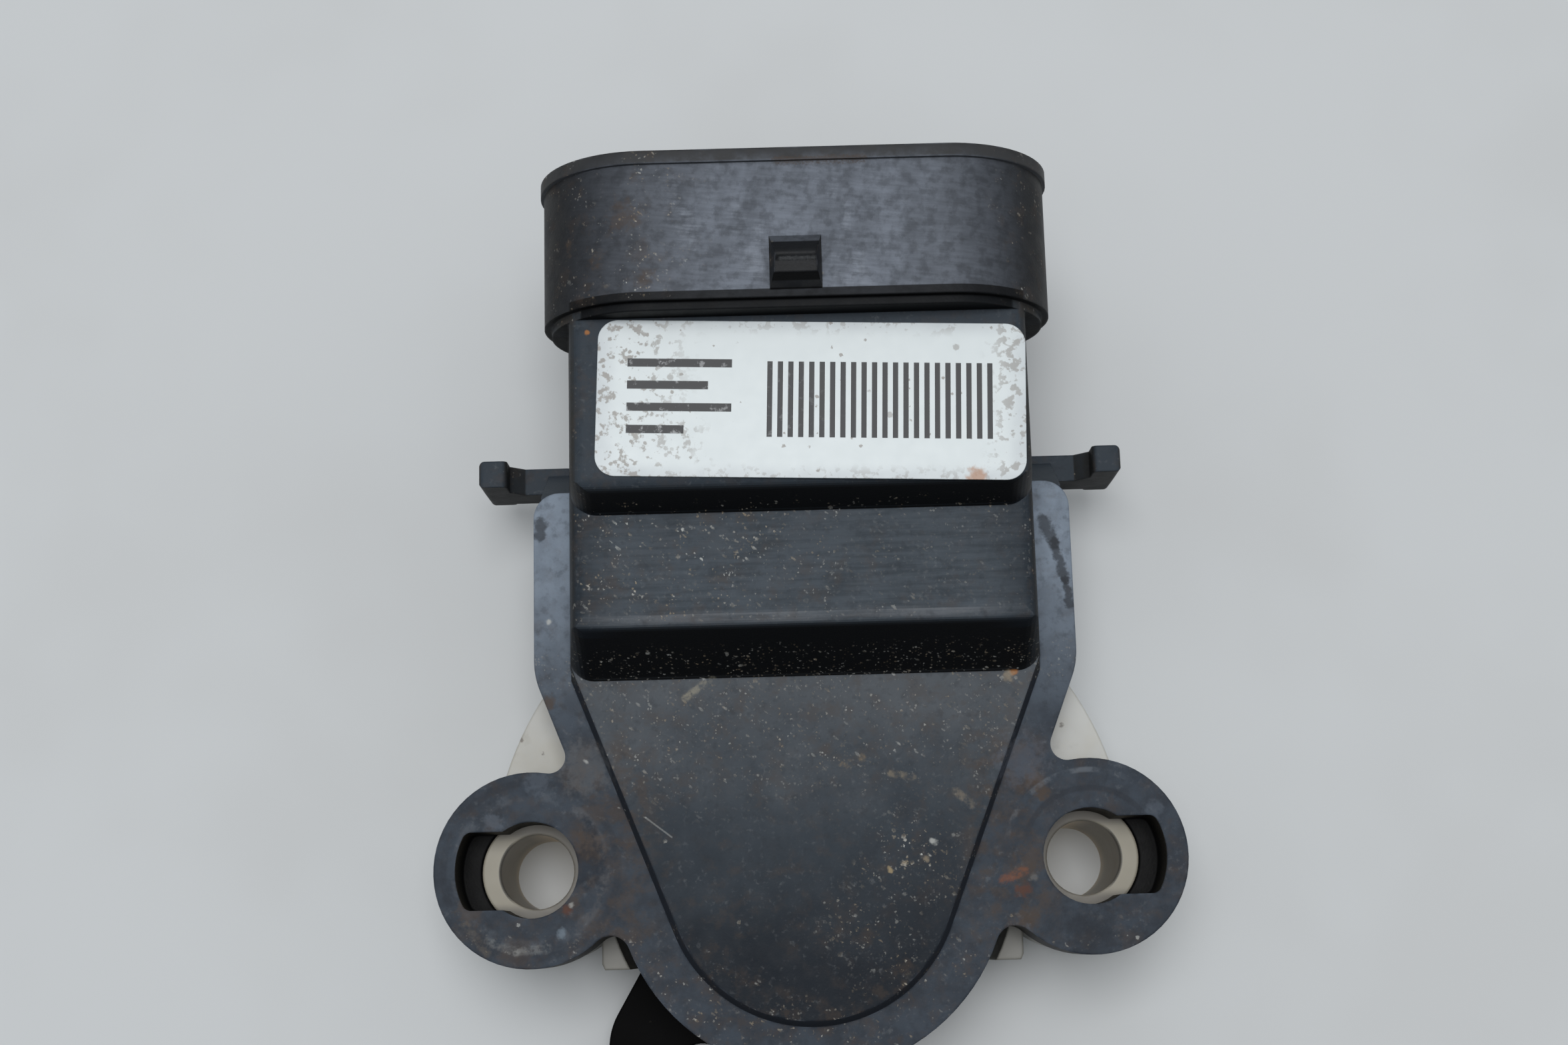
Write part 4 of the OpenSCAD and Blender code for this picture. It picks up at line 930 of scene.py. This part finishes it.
@dataclass(frozen=True)
class Laminate(Finish):
    """Woven glass board, with the cloth just showing."""

    slot: Slot = Slot.BOARD
    resin: Colour = (0.52, 0.46, 0.28)
    thread: Colour = (0.62, 0.58, 0.42)
    pitch: float = 0.4

    def material(self) -> Material:
        """Makes the board's material.

        Returns:
            The material, with its nodes.
        """
        g = Skin(self.slot.value)
        waves = [g.math("SINE", g.all_of(along, 2 * math.pi / self.pitch)) for along in (g.x, g.y)]
        weave = g.ramp(g.all_of(*waves), -0.6, 0.6)
        g.colour = g.paint(self.resin, self.thread, g.all_of(weave, 0.6))
        g.lay(BROWN, g.patches(0.6, 0.8, 2.0), 0.3)
        return g.surface(g.mix(weave, 0.35, 0.5), g.bump(weave, 0.006, g.soft_normal(0.05)))


@dataclass(frozen=True)
class TrackFilm(Finish):
    """Printed film: carbon arcs with the wiper's wear, and silver ends on the pads."""

    slot: Slot = Slot.TRACK_FILM
    carbon: Colour = (0.018, 0.018, 0.019)
    polished: Colour = (0.07, 0.07, 0.072)
    film: Colour = (0.2, 0.11, 0.035)
    pad: Colour = (0.45, 0.45, 0.43)
    radii: Pair = (3.1, 5.0)
    half_width: float = 0.5
    pad_y: float = 10.8

    def material(self) -> Material:
        """Makes the film's material.

        Returns:
            The material, with its nodes.
        """
        g = Skin(self.slot.value)
        g.colour = self.film
        for radius in self.radii:
            off = g.absolute(g.math("SUBTRACT", g.radius_from(0.0, 0.0), radius))
            g.lay(self.carbon, g.ramp(off, self.half_width + 0.04, self.half_width - 0.02))
            g.lay(self.polished, g.ramp(off, 0.3, 0.2), g.noise(0.4))
        g.lay(self.pad, g.ramp(g.y, self.pad_y, self.pad_y + 0.1))
        return g.surface(g.mix(g.noise(0.5), 0.3, 0.5), g.bump(g.noise(0.12), 0.002))


@dataclass(frozen=True)
class CarrierPlastic(Finish):
    """Grey plastic of the wipers' carrier."""

    slot: Slot = Slot.CARRIER_GREY
    dark: Colour = (0.065, 0.065, 0.07)
    light: Colour = (0.1, 0.1, 0.105)

    def material(self) -> Material:
        """Makes the carrier's material.

        Returns:
            The material, with its nodes.
        """
        g = Skin(self.slot.value)
        g.colour = g.paint(self.dark, self.light, g.noise(1.4, 4.0))
        return g.surface(g.mix(g.noise(0.7), 0.4, 0.55), g.bump(g.noise(0.18), 0.006, g.soft_normal(0.15)))


def mesh_object(name: str, points: Sequence[Sequence[float]], faces: Sequence[Sequence[int]],
                smooth: bool) -> bpy.types.Object:
    """Makes an object from points in millimetres.

    Args:
        name: The object's name.
        points: Corners.
        faces: Corner numbers of each face.
        smooth: True where the faces shade as one curved surface.

    Returns:
        The object, linked to the scene.
    """
    mesh = bpy.data.meshes.new(name)
    mesh.from_pydata([Vector(p) * MM for p in points], [], faces)
    mesh.validate()
    mesh.polygons.foreach_set("use_smooth", [smooth] * len(mesh.polygons))
    made = bpy.data.objects.new(name, mesh)
    bpy.context.scene.collection.objects.link(made)
    return made


@dataclass
class SubAssembly:
    """Group of pieces that is built, dressed and reported together."""

    nodes: dict[str, bpy.types.Object]

    def dress(self, material: Material, *names: str) -> None:
        """Gives CAD nodes their finish.

        Args:
            material: The finish's material.
            names: The nodes' names.
        """
        for name in names:
            for slot in self.nodes[name].material_slots:
                slot.material = material
            LOG.info("%s: %s", name, material.name)

    def build(self) -> None:
        """Builds and dresses the group."""
        raise NotImplementedError


@dataclass
class Moulding(SubAssembly):
    """Front housing: connector shroud, stepped body, tongue, flange, ears and hooks."""

    def build(self) -> None:
        """Dresses the housing."""
        self.dress(HousingPlastic().material(), "front_housing")


@dataclass
class Base(SubAssembly):
    """Nylon base with the seal between it and the housing."""

    def build(self) -> None:
        """Dresses the base and its two seals."""
        self.dress(NaturalNylon().material(), "base_cover")
        self.dress(Rubber().material(), "cover_seal", "shaft_seal")


@dataclass
class Label(SubAssembly):
    """Film label with a plain print of even bars and lines."""

    film: LabelFilm = LabelFilm()
    ink_t: float = 0.012
    bar_count: int = 22
    bar_pitch: float = 0.62
    bar_w: float = 0.31
    bar_h: float = 4.6
    bars_from: float = -2.6
    line_h: float = 0.5
    lines_from: Pair = (-10.9, 1.9)
    line_pitch: float = 1.35
    line_lengths: tuple[float, ...] = (6.2, 4.8, 6.2, 3.4)

    def build(self) -> None:
        """Dresses the film and lays the print on it."""
        self.dress(self.film.material(), "label")
        boxes = [(self.bars_from + i * self.bar_pitch, -0.5 * self.bar_h, self.bar_w, self.bar_h)
                 for i in range(self.bar_count)]
        u, v = self.lines_from
        boxes += [(u, v - i * self.line_pitch, length, self.line_h)
                  for i, length in enumerate(self.line_lengths)]
        points = [corner for box in boxes for corner in self._corners(*box)]
        sides = [(i, (i + 1) % 4, (i + 1) % 4 + 4, i + 4) for i in range(4)]
        faces = [tuple(8 * i + k for k in face)
                 for i in range(len(boxes)) for face in [(3, 2, 1, 0), (4, 5, 6, 7), *sides]]
        made = mesh_object("label_print", points, faces, False)
        made.data.materials.append(LabelInk().material())
        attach(made, Body.HOUSING.value)
        LOG.info("label_print: %d bars and lines", len(boxes))

    def _corners(self, u: float, v: float, w: float, h: float) -> list[Vector]:
        """Finds the corners of one printed bar, a very thin plate on the film.

        Args:
            u: Near end along the label's length.
            v: Near end along the label's height.
            w: Size along the length.
            h: Size along the height.

        Returns:
            The four corners below and the four above.
        """
        turn = Matrix.Rotation(math.radians(self.film.turn_deg), 3, "Z")
        outline = ((u, v), (u + w, v), (u + w, v + h), (u, v + h))
        return [turn @ Vector((*corner, z)) + Vector(self.film.centre)
                for z in (0.0, self.ink_t) for corner in outline]


@dataclass
class Contacts(SubAssembly):
    """Terminals of the connector, the board and its printed tracks."""

    terminal_count: int = 6

    def build(self) -> None:
        """Dresses the terminals, the board and the film."""
        tin = Metal(Slot.TINNED_CONTACT, (0.6, 0.59, 0.55), (0.42, 0.41, 0.38), roughness=(0.3, 0.48),
                    lines=(1.0, 0.12, 1.0))
        self.dress(tin.material(), *[f"terminal_{i + 1}" for i in range(self.terminal_count)])
        self.dress(Laminate().material(), "sensor_board")
        self.dress(TrackFilm().material(), "resistor_tracks")


@dataclass
class Rotor(SubAssembly):
    """Shaft with its bearing, and the carrier with the two wipers."""

    def build(self) -> None:
        """Dresses the turning parts and the bearing."""
        steel = Metal(Slot.BRIGHT_STEEL)
        self.dress(steel.material(), "rotor_shaft", "push_nut")
        bronze = Metal(Slot.BRONZE, (0.48, 0.3, 0.13), (0.3, 0.17, 0.07), roughness=(0.35, 0.55),
                       lines=PLAIN)
        self.dress(bronze.material(), "shaft_bush", "thrust_washer")
        alloy = Metal(Slot.CONTACT_ALLOY, (0.68, 0.48, 0.24), (0.5, 0.33, 0.16), roughness=(0.2, 0.35))
        self.dress(alloy.material(), "wiper_inner", "wiper_outer")
        self.dress(CarrierPlastic().material(), "wiper_carrier")


@dataclass
class Lever(SubAssembly):
    """Drive lever with the torsion spring that brings it back."""

    wire_d: float = 0.8
    chamfer: float = 0.12
    coil_r: float = 5.6
    leg_r: float = 9.0
    bend_r: float = 6.5
    start_deg: float = 266.0
    anchor_deg: float = 330.0
    turn_deg: float = -656.0
    bend_deg: float = 6.0
    level_part: float = 0.02
    low_z: float = 3.92
    high_z: float = 5.9
    coil_steps: int = 56
    steps_between: int = 5
    sides: int = 20

    def build(self) -> None:
        """Dresses the lever and draws the spring's wire."""
        self.dress(LeverPlastic().material(), "drive_lever")
        finish = Metal(Slot.SPRING_STEEL, (0.4, 0.4, 0.41), (0.24, 0.24, 0.25),
                       roughness=(0.25, 0.45), lines=PLAIN)
        path = self._smoothed(self._path())
        points, faces = self._wire(path)
        spring = mesh_object("return_spring_wire", points, faces, True)
        spring.data.materials.append(finish.material())
        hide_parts("return_spring")
        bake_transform(spring)
        LOG.info("return_spring_wire: %d rings", len(path))

    def _path(self) -> list[Vector]:
        """Lays out the wire's centre line: leg on the lever, coil, leg on the base.

        Returns:
            The points of the line.
        """
        def at(radius: float, degrees: float, z: float) -> Vector:
            """Returns a point by its radius, direction and height."""
            angle = math.radians(degrees)
            return Vector((radius * math.cos(angle), radius * math.sin(angle), z))

        points = [at(r, self.start_deg, self.low_z) for r in (self.leg_r, self.bend_r)]
        for i in range(self.coil_steps + 1):
            part = i / self.coil_steps
            rise = min(max((part - self.level_part) / (1.0 - 2 * self.level_part), 0.0), 1.0)
            degrees = self.start_deg - self.bend_deg + (self.turn_deg + 2 * self.bend_deg) * part
            points.append(at(self.coil_r, degrees, self.low_z + (self.high_z - self.low_z) * rise))
        return points + [at(r, self.anchor_deg, self.high_z) for r in (self.bend_r, self.leg_r)]

    def _smoothed(self, points: list[Vector]) -> list[Vector]:
        """Draws a smooth line through points.

        Args:
            points: points of the line.

        Returns:
            The same points, with new ones between them.
        """
        padded = [points[0] * 2 - points[1], *points, points[-1] * 2 - points[-2]]
        line = []
        for a, b, c, d in zip(padded, padded[1:], padded[2:], padded[3:]):
            for step in range(self.steps_between):
                t = step / self.steps_between
                line.append(0.5 * (2 * b + (c - a) * t + (2 * a - 5 * b + 4 * c - d) * t ** 2
                                   + (3 * b - a - 3 * c + d) * t ** 3))
        return [*line, points[-1]]

    def _wire(self, path: list[Vector]) -> tuple[list[Point], list[tuple[int, ...]]]:
        """Sweeps the round wire along a line, with small chamfers at its ends.

        Args:
            path: The centre line, in millimetres.

        Returns:
            Corners and faces.
        """
        first, last = ((b - a).normalized() * self.chamfer for a, b in (path[:2], path[-2:]))
        radius = 0.5 * self.wire_d
        tip = radius - self.chamfer
        rings = [(path[0], tip), (path[0] + first, radius), *[(p, radius) for p in path[1:-1]],
                 (path[-1] - last, radius), (path[-1], tip)]
        points: list[Point] = []
        for i, (centre, r) in enumerate(rings):
            along = (rings[min(i + 1, len(rings) - 1)][0] - rings[max(i - 1, 0)][0]).normalized()
            up = (Vector((0.0, 0.0, 1.0)) - along * along.z).normalized()
            across = up.cross(along)
            for k in range(self.sides):
                a = 2 * math.pi * k / self.sides
                points.append(tuple(centre + r * (across * math.cos(a) + up * math.sin(a))))
        faces: list[tuple[int, ...]] = [tuple(range(self.sides))]
        for i in range(len(rings) - 1):
            for k in range(self.sides):
                a, b = i * self.sides + k, i * self.sides + (k + 1) % self.sides
                faces.append((a, a + self.sides, b + self.sides, b))
        end = (len(rings) - 1) * self.sides
        faces.append(tuple(end + k for k in reversed(range(self.sides))))
        return points, faces


@dataclass
class Studio:
    """Pale floor, soft light and the camera."""

    floor_size: float = 16000.0
    floor_colour: Colour = (0.602, 0.622, 0.635)
    floor_shade: Colour = (0.578, 0.594, 0.603)
    camera_at: Point = (-1.0254, -4.8876, 143.7755)
    camera_ahead: Point = (-0.00047, 0.19387, -0.98103)
    camera_right: Point = (0.99965, -0.02577, -0.00557)
    lens: float = 49.143
    clip_from: float = 5.0
    lamp_at: Point = (-20.0, 70.0, 600.0)
    lamp_size: float = 280.0
    lamp_power: float = 1.85
    horizon: float = 0.33
    zenith: float = 0.68
    backdrop: float = 0.55
    sky_colour: Colour = (0.95, 0.98, 1.0)
    front_edge: Pair = (-0.45, -0.3)
    front_top: Pair = (0.72, 0.84)

    def build(self) -> None:
        """Builds the floor, the light and the camera."""
        bpy.context.scene.view_settings.view_transform = "Standard"
        self._floor()
        self._lamp()
        self._world()
        self._camera()
        LOG.info("studio: floor, lamp, world and camera")

    def _floor(self) -> None:
        """Lays the floor that the part stands on."""
        half = 0.5 * self.floor_size
        corners = [(-half, -half, 0.0), (half, -half, 0.0), (half, half, 0.0), (-half, half, 0.0)]
        floor = mesh_object("floor", corners, [(0, 1, 2, 3)], False)
        g = Skin("floor_pale")
        g.colour = g.paint(self.floor_colour, self.floor_shade, g.patches(0.4, 0.7, 30.0, 3.0))
        floor.data.materials.append(g.surface(0.9, g.bump(g.noise(2.0), 0.004), Specular_IOR_Level=0.0))

    def _lamp(self) -> None:
        """Hangs the soft lamp over the part."""
        data = bpy.data.lights.new("soft_lamp", "AREA")
        data.size = self.lamp_size * MM
        data.energy = self.lamp_power
        lamp = bpy.data.objects.new("soft_lamp", data)
        lamp.location = Vector(self.lamp_at) * MM
        lamp.rotation_euler = (-lamp.location).to_track_quat("-Z", "Y").to_euler()
        bpy.context.scene.collection.objects.link(lamp)

    def _world(self) -> None:
        """Sets the pale light from all round, brighter overhead and dark low in front."""
        world = bpy.data.worlds.new("studio")
        g = Graph(world, "Generated", 1.0)
        lit = g.any_of(g.fade(g.y, self.front_edge, (0.0, 1.0)), g.fade(g.z, self.front_top, (0.0, 1.0)))
        glow = g.fade(g.z, (0.0, 1.0), (self.horizon, self.zenith))
        camera_ray = g.add("ShaderNodeLightPath").outputs["Is Camera Ray"]
        strength = g.any_of(g.all_of(glow, lit), g.all_of(camera_ray, self.backdrop))
        light = g.add("ShaderNodeBackground", {"Color": rgba(self.sky_colour), "Strength": strength})
        g.add("ShaderNodeOutputWorld", {"Surface": light.outputs[0]})
        bpy.context.scene.world = world

    def _camera(self) -> None:
        """Places the camera where the photograph was taken from."""
        data = bpy.data.cameras.new("camera")
        data.lens = self.lens
        data.clip_start = self.clip_from * MM
        back = -Vector(self.camera_ahead).normalized()
        up = back.cross(Vector(self.camera_right)).normalized()
        right = up.cross(back)
        turn = Matrix((right, up, back)).transposed().to_4x4()
        camera = bpy.data.objects.new("camera", data)
        camera.matrix_world = Matrix.Translation(Vector(self.camera_at) * MM) @ turn
        bpy.context.scene.collection.objects.link(camera)
        bpy.context.scene.camera = camera


def main() -> None:
    """Builds and dresses each group in order."""
    logging.basicConfig(level=logging.INFO, format="%(name)s: %(message)s")
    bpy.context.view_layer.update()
    nodes = frame["nodes"]
    for group in (Moulding(nodes), Base(nodes), Label(nodes), Contacts(nodes), Rotor(nodes), Lever(nodes)):
        group.build()
    Studio().build()


if __name__ == "__main__":
    main()
